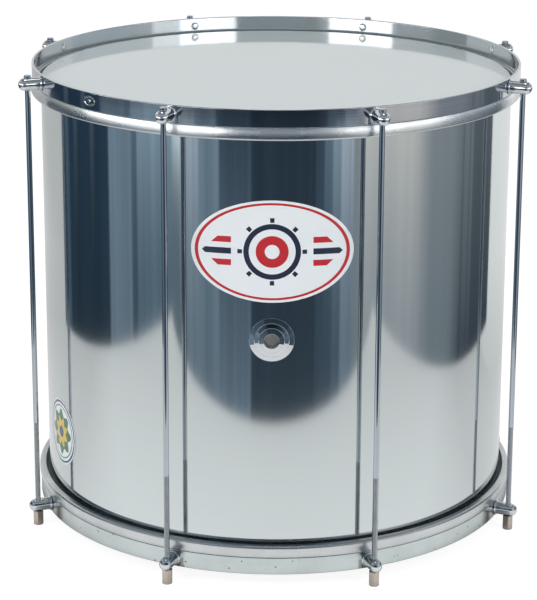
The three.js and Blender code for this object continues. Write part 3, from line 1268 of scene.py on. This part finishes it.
@dataclass
class SurfaceMarks:
    """The thin things on the outside: two labels on the shell and a stud on the top hoop."""

    shell: Shell
    end: HeadEnd
    stand_off: float = 0.12
    thickness: float = 0.22
    oval_level: float = 390.5
    round_azimuth: float = -64.3
    round_level: float = 120.6
    stud_azimuth: float = -44.6
    stud_radius: float = 7.4
    stud_height: float = 0.9
    stud_rim: float = 1.6
    stud_foot: float = 2.4
    stud_dish: float = 0.5
    boss_foot: float = 2.6
    boss_top: float = 1.6
    stud_stretch: float = 1.3
    stud_flatness: float = 0.7
    stud_steps: int = 40

    def build(self) -> None:
        """Makes the labels and the stud."""
        reach = self.shell.radius + self.stand_off
        for name, finish, azimuth, level in (
            ("oval_label", OvalPrint(), 0, self.oval_level),
            ("round_label", RoundPrint(), self.round_azimuth, self.round_level),
        ):
            blank = Blank.plate(finish.half_width, finish.half_height, self.thickness)
            make_piece(blank.wrapped(reach, azimuth, level), name, finish)
        dish = self.stud_height - self.stud_dish
        stud = Blank.turned([
            Corner(0, 0),
            Corner(self.stud_radius, 0),
            Corner(self.stud_radius, self.stud_height, 0.4),
            Corner(self.stud_radius - self.stud_rim, self.stud_height, 0.3),
            Corner(self.stud_radius - self.stud_foot, dish, 0.2),
            Corner(self.boss_foot, dish, 0.2),
            Corner(self.boss_top, self.stud_height, 0.3),
            Corner(0, self.stud_height),
        ], self.stud_steps)
        stretch = (self.stud_stretch, 1 / self.stud_stretch, self.stud_flatness, 1)
        stud.moved(Matrix.Diagonal(stretch))
        hoop_face = self.end.hoop_outer + self.stand_off
        stud.wrapped(hoop_face, self.stud_azimuth, self.end.lug_level)
        make_piece(stud, "hoop_stud", Metals.HOOP_CHROME)


# Lugs and rods


@dataclass
class Lugs:
    """The bullet lugs of one end, with the screws that hold them from inside the hoop."""

    end: HeadEnd
    rod_place: float = 306.0
    radius: float = 7.5
    flange_radius: float = 8.8
    flange_thickness: float = 1.6
    flange_fillet: float = 1.2
    seat_height: float = 6.8
    seat_radius: float = 6.0
    nose: float = 10.9
    bore: float = 3.675
    screw_radius: float = 2.5
    screw_bore: float = 2.8
    screw_depth: float = 7
    screw_head: float = 5.0
    screw_dome: float = 1.0
    screw_crown: float = 0.55
    screw_rim: float = 0.15
    screw_steps: int = 32
    nose_round: float = 0.999
    cut_past: float = 2.0
    steps: int = 56

    @property
    def face(self) -> float:
        """Radius at which the lugs' flanges begin."""
        return self.end.hoop_outer + SEAT_GAP

    def _lug(self) -> Blank:
        """One lug along +X.

        Returns:
            The lug, with its rod bore, its two seats and its screw bore.
        """
        shoulder = self.face + self.flange_thickness
        tip = self.rod_place + self.nose
        body = Blank.turned([
            Corner(0, self.face),
            Corner(self.flange_radius, self.face, 0.25),
            Corner(self.flange_radius, shoulder, 0.5),
            Corner(self.radius, shoulder, 0.9),
            Corner(self.radius, tip, self.radius * self.nose_round),
            Corner(0, tip),
        ], self.steps, segments=10)
        along_x = Matrix.Rotation(math.pi / 2, 4, "Y")
        body.moved(along_x)
        across = self.radius + self.cut_past
        tools = [Blank.bar(self.bore, -across, across)]
        for low, high in ((self.seat_height, across), (-across, -self.seat_height)):
            tools.append(Blank.bar(self.seat_radius, low, high))
        for tool in tools:
            tool.moved(Matrix.Translation((self.rod_place, 0, 0)))
        screw_end = self.face + self.screw_depth + SEAT_GAP
        screw_start = self.face - self.cut_past
        screw = Blank.bar(self.screw_bore, screw_start, screw_end, self.screw_steps)
        return body.cut(*tools, screw.moved(along_x))

    def _screw(self) -> Blank:
        """One screw along +X: a low dome inside the hoop and a shank into the lug.

        Returns:
            The screw.
        """
        seat = self.end.hoop_inner - SEAT_GAP
        crown = seat - self.screw_dome
        tip = self.face + self.screw_depth
        blank = Blank.turned([
            Corner(0, crown),
            Corner(self.screw_head * self.screw_crown, crown, 1.0),
            Corner(self.screw_head, seat - self.screw_rim, 0.3),
            Corner(self.screw_head, seat),
            Corner(self.screw_radius, seat),
            Corner(self.screw_radius, tip, 0.5),
            Corner(0, tip),
        ], self.screw_steps)
        return blank.moved(Matrix.Rotation(math.pi / 2, 4, "Y"))

    def build(self) -> None:
        """Makes this end's eight lugs and eight screws."""
        lug, screw = self._lug(), self._screw()
        word = self.end.head.word
        for number in range(1, LUG_COUNT + 1):
            place = Matrix.Translation(UP * self.end.lug_level)
            place = place @ Matrix.Rotation(lug_angle(number), 4, "Z")
            make_piece(
                lug.placed_copy(place), f"{word}_bullet_lug_{number}", Metals.CHROME,
                nodes=[f"{word}_lug_{number}"])
            make_piece(
                screw.placed_copy(place), f"{word}_screw_{number}", Metals.ZINC,
                nodes=[f"{word}_lug_screw_{number}"])


@dataclass
class Rods:
    """The eight tension rods, threaded at the foot, and the tall nuts that draw them."""

    lugs: Lugs
    radius: float = 3.175
    root_radius: float = 2.62
    pitch: float = 1.27
    crest: float = 0.16
    tip: float = 3.0
    thread_top: float = 130.0
    thread_lap: float = 1.0
    thread_runout: float = 0.6
    thread_lead: float = 1.4
    spare_turns: int = 3
    collar_radius: float = 4.45
    collar_height: float = 1.0
    head_radius: float = 4.0
    head_height: float = 2.6
    head_lift: float = 0.02
    thread_steps: int = 18
    shank_steps: int = 40
    nut_across_flats: float = 11.1
    nut_height: float = 17.5
    nut_face_inset: float = 0.3
    nut_chamfer: float = 0.9
    nut_corner_wear: float = 0.09
    nut_bore: float = 3.475
    nut_bore_chamfer: float = 0.35
    nut_steps: int = 96

    def _thread(self) -> Blank:
        """The threaded foot about Z: a helical ridge, trimmed flat at both ends.

        Returns:
            The closed threaded bar.
        """
        blank = Blank()
        bm = blank.mesh
        turns = math.ceil((self.thread_top - self.tip) / self.pitch) + self.spare_turns
        half = self.pitch / 2
        profile = [
            (self.root_radius, 0), (self.radius, half - self.crest),
            (self.radius, half + self.crest), (self.root_radius, self.pitch)]
        points = [bm.verts.new((radius, 0, height)) for radius, height in profile]
        for one, next_one in zip(points, points[1:]):
            bm.edges.new((one, next_one))
        bmesh.ops.spin(
            bm, geom=bm.verts[:] + bm.edges[:], cent=(0, 0, 0), axis=(0, 0, 1),
            dvec=(0, 0, self.pitch / self.thread_steps), angle=math.tau * turns,
            steps=turns * self.thread_steps, use_merge=False)
        blank.moved(Matrix.Translation(UP * (self.tip - self.thread_lead * self.pitch)))
        bmesh.ops.remove_doubles(bm, verts=bm.verts[:], dist=ON_PLANE)
        blank.trimmed(UP * self.thread_top, UP)
        blank.trimmed(UP * self.tip, -UP)
        bmesh.ops.recalc_face_normals(bm, faces=bm.faces[:])
        return blank

    def _shank(self) -> Blank:
        """The plain length about Z, with the collar and the head on top.

        Returns:
            The closed shank.
        """
        foot = self.thread_top - self.thread_lap
        seat = self.lugs.end.lug_level + self.lugs.seat_height + SEAT_GAP
        collar = seat + self.collar_height
        top = collar + self.head_height
        return Blank.turned([
            Corner(0, foot),
            Corner(self.root_radius, foot),
            Corner(self.radius, self.thread_top + self.thread_runout, 0.3),
            Corner(self.radius, seat),
            Corner(self.collar_radius, seat, 0.2),
            Corner(self.collar_radius, collar, 0.35),
            Corner(self.head_radius, collar + self.head_lift),
            Corner(self.head_radius, top, 0.9),
            Corner(0, top),
        ], self.shank_steps)

    def _nut(self) -> Blank:
        """One tall hexagon nut about Z, a corner towards -Y.

        Returns:
            The nut, with its bore and its rounded corners.
        """
        apothem = self.nut_across_flats / 2
        corner = 2 * apothem / math.sqrt(3)
        face = apothem - self.nut_face_inset
        height, bore, chamfer = self.nut_height, self.nut_bore, self.nut_bore_chamfer
        rings = [
            (0.0, face, 0.0), (0.0, None, 1.0), (height, None, -1.0), (height, face, 0.0),
            (height, bore + chamfer, 0.0), (height - chamfer, bore, 0.0),
            (chamfer, bore, 0.0), (0.0, bore + chamfer, 0.0)]

        def on_ring(angle: float, ring: tuple[float, Optional[float], float]) -> Vector:
            """Where a vertex lies.

            Args:
                angle: its angle about the axis.
                ring: height, radius or None for the hexagon, and the way it is chamfered.

            Returns:
                Its place.
            """
            level, radius, slope = ring
            if radius is None:
                off = angle - math.radians(60) * round(angle / math.radians(60))
                radius = min(apothem / math.cos(off), corner - self.nut_corner_wear)
                level += slope * self.nut_chamfer * (radius - face) / (corner - face)
            return Vector((radius * math.cos(angle), radius * math.sin(angle), level))

        blank = Blank()
        bm = blank.mesh
        bmesh.ops.create_circle(bm, segments=self.nut_steps, radius=1)
        edges = bm.edges[:]
        first = list(edges)
        for index, ring in enumerate(rings):
            if index:
                made = bmesh.ops.extrude_edge_only(bm, edges=edges)["geom"]
                edges = [item for item in made if isinstance(item, bmesh.types.BMEdge)]
            for vertex in {v for e in edges for v in e.verts}:
                angle = math.atan2(vertex.co.y, vertex.co.x)
                vertex.co = on_ring(angle, ring)
        bmesh.ops.bridge_loops(bm, edges=first + edges)
        return blank.tidied()

    def build(self) -> None:
        """Makes the eight rods and the eight nuts."""
        thread, shank, nut = self._thread(), self._shank(), self._nut()
        for number in range(1, LUG_COUNT + 1):
            angle = lug_angle(number)
            reach = self.lugs.rod_place
            place = Matrix.Translation((reach * math.cos(angle), reach * math.sin(angle), 0))
            make_piece(
                shank.placed_copy(place), f"rod_shank_{number}", Metals.ROD,
                body=f"rod_{number}", nodes=[f"tension_rod_{number}"])
            make_piece(
                thread.placed_copy(place), f"rod_thread_{number}", Metals.THREAD,
                body=f"rod_{number}", sharp=CRISP_ANGLE)
            make_piece(
                nut.placed_copy(place), f"hexagon_nut_{number}", Metals.NICKEL,
                body=f"nut_{number}", nodes=[f"tuning_nut_{number}"], sharp=CRISP_ANGLE)


# Camera and studio


@dataclass
class PhotoCamera:
    """The camera at the photograph's viewing angle, with all its sizes from a fit."""

    distance: float = 2559.9
    height: float = 1047.2
    azimuth: float = 0.681
    turn: float = -0.186
    pitch: float = 15.436
    roll: float = 0.244
    focal_share: float = 2182.5 / 600
    rise: float = 0.12
    sensor: float = 36.0
    clip: Span = (0.05, 60.0)

    def build(self) -> None:
        """Makes the camera and gives it to the scene."""
        heading = math.radians(self.turn)
        pitch, roll = math.radians(self.pitch), math.radians(self.roll)
        right = Vector((math.cos(heading), -math.sin(heading), 0))
        ahead = Vector((math.sin(heading), math.cos(heading), 0))
        forward = ahead * math.cos(pitch) - Vector((0, 0, math.sin(pitch)))
        up = ahead * math.sin(pitch) + Vector((0, 0, math.cos(pitch)))
        side = right * math.cos(roll) + up * math.sin(roll)
        top = up * math.cos(roll) - right * math.sin(roll)
        turned = Matrix((side, top, -forward)).transposed().to_4x4()
        turned.translation = Vector((0, -self.distance, self.height)) * MM
        data = bpy.data.cameras.new("photo_camera")
        data.sensor_width = self.sensor
        data.lens = self.focal_share * self.sensor
        data.shift_y = -self.rise
        data.clip_start, data.clip_end = self.clip
        camera = linked("photo_camera", data)
        camera.matrix_world = Matrix.Rotation(math.radians(self.azimuth), 4, "Z") @ turned
        bpy.context.scene.camera = camera


class Tone(Enum):
    """What stands round the white table: its colour at the foot, at the top, and the bend between.

    A bend of 1 blends them evenly; a greater one keeps the foot's colour longer.
    """

    DRAPE = ((0.040, 0.060, 0.083), (0.029, 0.048, 0.070), 1)
    NAVY = ((0.024, 0.042, 0.064), (0.022, 0.047, 0.080), 1)
    TWILIGHT = ((0.024, 0.042, 0.064), (0.085, 0.118, 0.160), 3)
    DUSK = ((0.058, 0.090, 0.126), (0.060, 0.092, 0.130), 1)
    HAZE = ((0.150, 0.202, 0.262), (0.055, 0.086, 0.124), 1)
    SLATE = ((0.056, 0.086, 0.122), (0.140, 0.198, 0.262), 2)
    CLIMB = ((0.078, 0.118, 0.160), (0.285, 0.372, 0.460), 2)
    STEEL = ((0.150, 0.205, 0.260), (0.195, 0.268, 0.342), 1)
    MIST = ((0.105, 0.162, 0.218), (0.370, 0.490, 0.600), 2)
    SILVER = ((0.160, 0.212, 0.270), (0.450, 0.520, 0.610), 2)
    PEARL = ((0.350, 0.380, 0.415), (0.720, 0.690, 0.665), 1.3)
    GLEAM = ((0.130, 0.175, 0.215), (1.600, 1.800, 1.930), 5)
    ASH = ((0.188, 0.230, 0.256), (0.280, 0.305, 0.342), 1)
    PEWTER = ((0.050, 0.066, 0.086), (0.205, 0.230, 0.256), 0.8)
    IRON = ((0.045, 0.060, 0.078), (0.125, 0.148, 0.170), 1)
    BEAM = ((5.400, 5.400, 5.400), (5.800, 5.800, 5.800), 1)
    LAMP = ((3.200, 3.200, 3.200), (3.600, 3.600, 3.600), 1)
    GLOW = ((1.300, 1.300, 1.300), (1.500, 1.500, 1.500), 1)
    ROOM = ((0.020, 0.035, 0.055), (0.220, 0.250, 0.280), 1.5)
    PALE = ((0.640, 0.730, 0.830), (0.640, 0.730, 0.830), 1)
    WALL = ((0.240, 0.270, 0.300), (0.420, 0.440, 0.460), 1)

    @property
    def is_smooth(self) -> bool:
        """Whether it is an even wall, with faint streaks and no dark hem."""
        return self in (
            Tone.PEARL, Tone.ASH, Tone.PEWTER, Tone.IRON, Tone.BEAM, Tone.LAMP, Tone.GLOW)

    @property
    def streaks(self) -> float:
        """How strongly upright streaks show in it."""
        return 0.25 if self.is_smooth else 1.0

    @property
    def has_hem(self) -> bool:
        """Whether a board of it darkens at its top."""
        return not self.is_smooth and self not in (Tone.NAVY, Tone.TWILIGHT)

    @property
    def hem(self) -> Span:
        """Over how much height a board darkens at its top, in metres, and to what share."""
        if self in (Tone.DRAPE, Tone.HAZE):
            return 0.05, 0.28
        share = {Tone.CLIMB: 0.16, Tone.MIST: 0.26, Tone.SILVER: 0.3}.get(self, 0.45)
        return 0.02, share


@dataclass(frozen=True)
class Flat:
    """A board that stands on its edge beside the table, along X or along Y.

    Where it has a second tone, it blends into that towards its end.
    """

    start: float
    end: float
    tone: Tone
    into: Optional[Tone] = None


@dataclass(frozen=True)
class Wall:
    """Part of the room round the table.

    Its ends are azimuths, from -Y towards +X, in degrees; its foot and top are heights. A
    veiled one glares only in the mirror of a mirror, so that no side's film turns white.
    """

    start: float
    end: float
    foot: float
    top: float
    tone: Tone
    veiled: bool = False


@dataclass(frozen=True)
class Softbox:
    """A soft square lamp that points at the drum's middle."""

    name: str
    place: tuple[float, float, float]
    size: float
    watts: float


def stand(
    name: str, bm: bmesh.types.BMesh, material: bpy.types.Material, only_mirrored: bool = True
) -> None:
    """Makes a finished form part of the stage.

    Args:
        name: its name.
        bm: its form, in metres; it is freed.
        material: its material.
        only_mirrored: whether it shows only in polished surfaces.
    """
    mesh = bpy.data.meshes.new(name)
    bm.to_mesh(mesh)
    bm.free()
    mesh.materials.append(material)
    made = linked(name, mesh)
    if only_mirrored:
        made.visible_camera = False
        made.visible_diffuse = False
        made.visible_transmission = False
        made.visible_shadow = False


@dataclass
class Floor:
    """The white floor: plain white to the camera, lit for the rest, and in mirrors painted with
    light and shade about the drum.

    A pair of spans is a range of metres and the shares of white to which it is brought.
    """

    half_size: float = 12.0
    colour: Colour = (0.84, 0.85, 0.86)
    # Painted light: in mirrors the floor dims from the drum outwards.
    light_falloff: tuple[Span, Span] = ((0.34, 1.0), (1.0, 0.62))
    # Painted shade: in mirrors the floor is darker beside and behind the drum.
    side: tuple[Span, Span] = ((-0.25, -0.05), (1.0, 0.79))
    slant: float = -0.03
    spread: float = 0.09
    behind: tuple[Span, Span] = ((0.05, 0.3), (0.0, 1.0))
    away: tuple[Span, Span] = ((0.4, 1.3), (0.52, 0.76))
    away_slant: float = 0.2
    # Painted shadow: in mirrors the floor under the drum is darkened to a small share.
    shadow_under: tuple[Span, Span] = ((0.295, 0.325), (0.15, 1.0))
    plain_strength: float = 1.17
    plain_share: float = 0.78

    def _in_mirrors(self, graph: Graph) -> Socket:
        """How white the floor is in a mirror, by where it is about the drum: painted light that
        dims outwards, painted shade beside and behind it, and a painted shadow under it.

        Args:
            graph: the material's graph.

        Returns:
            The strength.
        """
        place = graph.object_place()
        length = graph.node("ShaderNodeVectorMath", operation="LENGTH")
        graph.feed(length, 0, place)
        reach = length.outputs["Value"]
        x, y, _ = graph.axes(place)
        beside = graph.math("MULTIPLY_ADD", x, self.slant, 1.0)
        beside = graph.math("MULTIPLY_ADD", graph.math("ABSOLUTE", x), self.spread, beside)
        near = graph.math(
            "MULTIPLY", graph.ranged(reach, *self.light_falloff), graph.ranged(y, *self.side))
        near = graph.math("MULTIPLY", near, beside)
        slanted = graph.math("MULTIPLY_ADD", x, self.away_slant, 1.0)
        away = graph.math("MULTIPLY", graph.ranged(reach, *self.away), slanted)
        away = graph.math("MULTIPLY", away, graph.ranged(y, *self.behind))
        shown = graph.math("MAXIMUM", near, away)
        # Painted shadow under the drum, in mirrors.
        return graph.math("MULTIPLY", shown, graph.ranged(reach, *self.shadow_under))

    def build(self) -> None:
        """Lays the floor."""
        material, graph = Graph.of_material("white_floor")
        lit = graph.node("ShaderNodeBsdfDiffuse")
        lit.inputs["Color"].default_value = (*self.colour, 1)
        path = graph.node("ShaderNodeLightPath").outputs
        plain = graph.math("MAXIMUM", path["Is Camera Ray"], path["Is Transmission Ray"])
        white = graph.node("ShaderNodeEmission")
        strength = graph.mixed_number(plain, self._in_mirrors(graph), self.plain_strength)
        graph.feed(white, "Strength", strength)
        seen = graph.math("MAXIMUM", plain, path["Is Glossy Ray"])
        both = graph.node("ShaderNodeMixShader")
        graph.feed(both, 0, graph.math("MULTIPLY", seen, self.plain_share))
        graph.feed(both, 1, lit.outputs[0])
        graph.feed(both, 2, white.outputs[0])
        graph.surface(both)
        bm = bmesh.new()
        bmesh.ops.create_grid(bm, x_segments=1, y_segments=1, size=self.half_size)
        stand("floor", bm, material, only_mirrored=False)


@dataclass
class Studio:
    """White table, world, lamps, and the darker room that the polished metal mirrors."""

    front: float = -0.79
    left: float = -0.95
    left_bow: float = 0.2
    left_bow_centre: float = -0.2
    front_bow: float = 0.5
    front_straight: float = 0.4
    front_centre: float = -0.05
    right: float = 0.87
    rear: float = 1.6
    hem: float = 0.41
    left_hem: float = 0.355
    hem_sag: float = 0.128
    board_height: float = 0.52
    board_lift: float = 0.001
    board_bend: float = 0.75
    board_steps: int = 8
    front_flats: Sequence[Flat] = field(default_factory=lambda: [
        Flat(-0.95, -0.82, Tone.MIST), Flat(-0.82, -0.665, Tone.GLEAM),
        Flat(-0.665, -0.465, Tone.SILVER), Flat(-0.465, -0.313, Tone.STEEL),
        Flat(-0.313, -0.12, Tone.HAZE), Flat(-0.12, 0.231, Tone.DRAPE),
        Flat(0.231, 0.285, Tone.DUSK), Flat(0.285, 0.34, Tone.SLATE),
        Flat(0.34, 0.40, Tone.CLIMB), Flat(0.40, 0.51, Tone.SILVER),
        Flat(0.51, 0.586, Tone.ASH), Flat(0.586, 0.87, Tone.PEARL)])
    left_flats: Sequence[Flat] = field(default_factory=lambda: [
        Flat(-0.93, -0.53, Tone.MIST), Flat(-0.53, -0.475, Tone.SLATE),
        Flat(-0.475, -0.252, Tone.STEEL), Flat(-0.252, -0.10, Tone.NAVY),
        Flat(-0.10, -0.055, Tone.TWILIGHT), Flat(-0.055, 0.095, Tone.NAVY),
        Flat(0.095, 0.15, Tone.TWILIGHT), Flat(0.15, 0.225, Tone.NAVY),
        Flat(0.225, 0.34, Tone.DUSK)])
    right_flats: Sequence[Flat] = field(default_factory=lambda: [
        Flat(-1.0, -0.50, Tone.PEARL), Flat(-0.50, -0.32, Tone.PEARL, into=Tone.ASH),
        Flat(-0.32, -0.16, Tone.ASH), Flat(-0.16, -0.03, Tone.ASH, into=Tone.PEWTER),
        Flat(-0.03, -0.018, Tone.IRON), Flat(-0.018, 0.045, Tone.PEWTER),
        Flat(0.045, 0.057, Tone.IRON), Flat(0.057, 0.09, Tone.PEWTER),
        Flat(0.09, 0.41, Tone.IRON)])
    rear_flats: Sequence[Flat] = field(default_factory=lambda: [
        Flat(-0.56, -0.30, Tone.SILVER), Flat(-0.30, 0.16, Tone.STEEL),
        Flat(0.16, 0.40, Tone.MIST), Flat(0.40, 0.56, Tone.PEARL)])
    walls: Sequence[Wall] = field(default_factory=lambda: [
        Wall(-22, 30, 0.50, 0.98, Tone.PALE), Wall(-27, 22, 0.98, 2.9, Tone.ROOM),
        Wall(-88, -22, 0.52, 0.95, Tone.BEAM), Wall(30, 80, 0.52, 0.98, Tone.LAMP),
        Wall(-62, -27, 0.95, 1.3, Tone.LAMP, veiled=True),
        Wall(22, 52, 0.98, 1.3, Tone.LAMP, veiled=True),
        Wall(52, 68, 0.98, 1.3, Tone.GLOW, veiled=True),
        Wall(-112, -62, 0.95, 1.3, Tone.ROOM), Wall(68, 80, 0.98, 1.3, Tone.WALL),
        Wall(-112, -27, 1.3, 3.2, Tone.WALL), Wall(22, 80, 1.3, 3.2, Tone.WALL),
        Wall(-125, -62, 0.01, 0.52, Tone.WALL), Wall(60, 80, 0.01, 0.52, Tone.WALL),
        Wall(80, 125, 0.25, 1.15, Tone.PALE), Wall(80, 125, 1.15, 2.4, Tone.WALL)])
    room_radius: float = 3.2
    room_bend: float = 2.4
    wall_steps: int = 24
    ceiling: float = 3.3
    ceiling_size: float = 3.0
    ceiling_lamp: float = 3.25
    ceiling_lamp_size: float = 0.4
    streak_lines: Span = (14.0, 70.0)
    streak_rises: Span = (0.6, 0.3)
    streak_shares: Span = (0.9, 0.5)
    streak_loss: float = 0.7
    veiled_share: float = 0.3
    ambient: float = 0.44
    mirrored_ambient: float = 0.36
    softboxes: Sequence[Softbox] = (
        Softbox("left_softbox", (-1.75, -1.45, 1.65), 1.1, 24),
        Softbox("right_softbox", (1.75, -1.45, 1.65), 1.1, 20),
        Softbox("top_softbox", (0.0, 0.3, 2.7), 2.2, 30))
    aim: float = 0.35
    inside_level: float = 0.3
    inside_radius: float = 0.12
    inside_watts: float = 4.0

    def _hemmed(self, graph: Graph, strength: Socket, tone: Tone, axis: int) -> Socket:
        """Darkens a board's top, on a line that sags towards the ends of the front row.

        Args:
            graph: the material's graph.
            strength: the strength so far.
            tone: the board's tone.
            axis: the axis along which the board runs.

        Returns:
            The strength with its hem.
        """
        axes = graph.axes(graph.object_place())
        hem, sag = (self.left_hem, 0.0) if axis else (self.hem, self.hem_sag)
        band, share = tone.hem
        bowed = graph.math("MULTIPLY", axes[axis], axes[axis])
        raised = graph.math("MULTIPLY_ADD", bowed, sag, axes[2])
        shade = graph.ranged(raised, (hem, hem + band), (1.0, share))
        return graph.math("MULTIPLY", strength, shade)

    def _glow(
        self, tone: Tone, height: float, flat: Optional[Flat] = None, axis: int = 0,
        veiled: bool = False,
    ) -> bpy.types.Material:
        """A glowing tone with upright streaks, for what only mirrors show.

        Args:
            tone: its colours.
            height: the height at which it reaches the colour of its top, in metres.
            flat: the board that it is for, if it is for one.
            axis: the axis along which that board runs.
            veiled: whether it glares only in the mirror of a mirror.

        Returns:
            The material.
        """
        material, graph = Graph.of_material(f"{tone.name.lower()}_glow")
        place = graph.object_place()
        axes = graph.axes(place)
        rise = graph.ranged(axes[2], (0.0, height), (0.0, 1.0))

        def risen(shown: Tone) -> Socket:
            """A tone's colour by height."""
            foot, top, bend = shown.value
            return graph.mixed(graph.math("POWER", rise, float(bend)), foot, top)

        colour = risen(tone)
        if flat and flat.into:
            run = graph.ranged(axes[axis], (flat.start, flat.end), (0.0, 1.0))
            colour = graph.mixed(run, colour, risen(flat.into))
        strength: object = 1 - self.streak_loss * tone.streaks
        for around, up, share in zip(self.streak_lines, self.streak_rises, self.streak_shares):
            streaks = graph.group(Effects.grain(), Place=place, Around=around, Up=up)
            strength = graph.math(
                "MULTIPLY_ADD", streaks.outputs["Lines"], share * tone.streaks, strength)
        if flat and tone.has_hem:
            strength = self._hemmed(graph, strength, tone, axis)
        if veiled:
            bounces = graph.node("ShaderNodeLightPath").outputs["Glossy Depth"]
            second = graph.math("GREATER_THAN", bounces, 1.5)
            share = graph.math("ADD", second, self.veiled_share)
            strength = graph.math("MULTIPLY", strength, share)
        light = graph.node("ShaderNodeEmission")
        graph.feed(light, "Color", colour)
        graph.feed(light, "Strength", strength)
        graph.surface(light)
        return material

    def _front_at(self, run: float) -> float:
        """Y of the front row at an X: straight in the middle, bowed away at both ends."""
        bent = max(0.0, abs(run - self.front_centre) - self.front_straight)
        return self.front - self.front_bow * bent ** 2

    def _left_at(self, run: float) -> float:
        """X of the left row at a Y."""
        return self.left + self.left_bow * (run - self.left_bow_centre) ** 2

    def _boards(self) -> None:
        """Stands the flats along the four sides of the table."""
        rows: Sequence[tuple[Sequence[Flat], int, Callable[[float], float]]] = (
            (self.front_flats, 0, self._front_at), (self.left_flats, 1, self._left_at),
            (self.right_flats, 1, lambda run: self.right),
            (self.rear_flats, 0, lambda run: self.rear))
        number = 0
        for flats, axis, across in rows:
            for flat in flats:
                number += 1
                bm = bmesh.new()
                bmesh.ops.create_grid(bm, x_segments=self.board_steps, y_segments=1, size=0.5)
                for vertex in bm.verts:
                    run = flat.start + (flat.end - flat.start) * (vertex.co.x + 0.5)
                    up = self.board_lift + self.board_height * (vertex.co.y + 0.5)
                    place = (across(run), run) if axis else (run, across(run))
                    vertex.co = (*place, up)
                height = self.board_height * self.board_bend
                stand(f"flat_{number}", bm, self._glow(flat.tone, height, flat, axis))

    def _room(self) -> None:
        """Stands the walls behind the camera and beside the table, and hangs the ceiling."""
        for number, wall in enumerate(self.walls, 1):
            bm = bmesh.new()
            start, swing = math.radians(wall.start), math.radians(wall.end - wall.start)
            foot = Vector((math.sin(start), -math.cos(start), 0)) * self.room_radius
            ends = [bm.verts.new(foot + UP * z) for z in (wall.foot, wall.top)]
            bm.edges.new(ends)
            bmesh.ops.spin(
                bm, geom=bm.verts[:] + bm.edges[:], cent=(0, 0, 0), axis=(0, 0, 1),
                dvec=(0, 0, 0), angle=swing, steps=self.wall_steps, use_merge=False)
            glow = self._glow(wall.tone, self.room_bend, veiled=wall.veiled)
            stand(f"wall_{number}", bm, glow)
        for name, size, level, tone in (
            ("ceiling", self.ceiling_size, self.ceiling, Tone.ROOM),
            ("ceiling_lamp", self.ceiling_lamp_size, self.ceiling_lamp, Tone.LAMP),
        ):
            bm = bmesh.new()
            bmesh.ops.create_grid(bm, x_segments=1, y_segments=1, size=size)
            bmesh.ops.translate(bm, verts=bm.verts[:], vec=UP * level)
            stand(name, bm, self._glow(tone, self.room_bend))

    def _world(self) -> None:
        """Sets the world: white to the camera, softer to mirrors and softer still as light."""
        world = bpy.data.worlds.new("studio_world")
        bpy.context.scene.world = world
        world.use_nodes = True
        world.node_tree.nodes.clear()
        graph = Graph(world.node_tree)
        path = graph.node("ShaderNodeLightPath").outputs
        seen = graph.math("MAXIMUM", path["Is Glossy Ray"], path["Is Transmission Ray"])
        soft = graph.math("MULTIPLY_ADD", seen, self.mirrored_ambient, self.ambient)
        sky = graph.node("ShaderNodeBackground")
        sky.inputs["Color"].default_value = (1, 1, 1, 1)
        graph.feed(sky, "Strength", graph.math("MAXIMUM", soft, path["Is Camera Ray"]))
        graph.surface(sky, "ShaderNodeOutputWorld")

    def _softbox(self, box: Softbox) -> None:
        """Hangs one soft lamp that points at the drum's middle.

        Args:
            box: its name, place, size and power.
        """
        data = bpy.data.lights.new(box.name, "AREA")
        data.shape = "RECTANGLE"
        data.size = data.size_y = box.size
        data.energy = box.watts
        lamp = linked(box.name, data)
        lamp.location = box.place
        aim = UP * self.aim - Vector(box.place)
        lamp.rotation_euler = aim.to_track_quat("-Z", "Y").to_euler()
        lamp.visible_camera = False
        lamp.visible_glossy = False

    def _inside_light(self) -> None:
        """Hangs the small light that stands for what the heads let into the drum."""
        data = bpy.data.lights.new("inside_light", "POINT")
        data.energy = self.inside_watts
        data.shadow_soft_size = self.inside_radius
        lamp = linked("inside_light", data)
        lamp.location = UP * self.inside_level
        lamp.visible_camera = False
        lamp.visible_glossy = False
        lamp.visible_transmission = False

    def build(self) -> None:
        """Makes the whole studio."""
        bpy.context.scene.view_settings.view_transform = "Standard"
        Floor().build()
        self._world()
        self._boards()
        self._room()
        for box in self.softboxes:
            self._softbox(box)
        self._inside_light()


def main() -> None:
    """Builds the camera, the studio and the drum, in that order."""
    logging.basicConfig(level=logging.INFO, format="%(name)s: %(message)s")
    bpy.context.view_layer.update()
    PhotoCamera().build()
    Studio().build()
    shell = Shell()
    shell.build()
    Vent(shell).build()
    for head in Head:
        end = HeadEnd(head, shell)
        end.build()
        lugs = Lugs(end)
        lugs.build()
        if head is Head.BATTER:
            Rods(lugs).build()
            SurfaceMarks(shell, end).build()


if __name__ == "__main__":
    main()
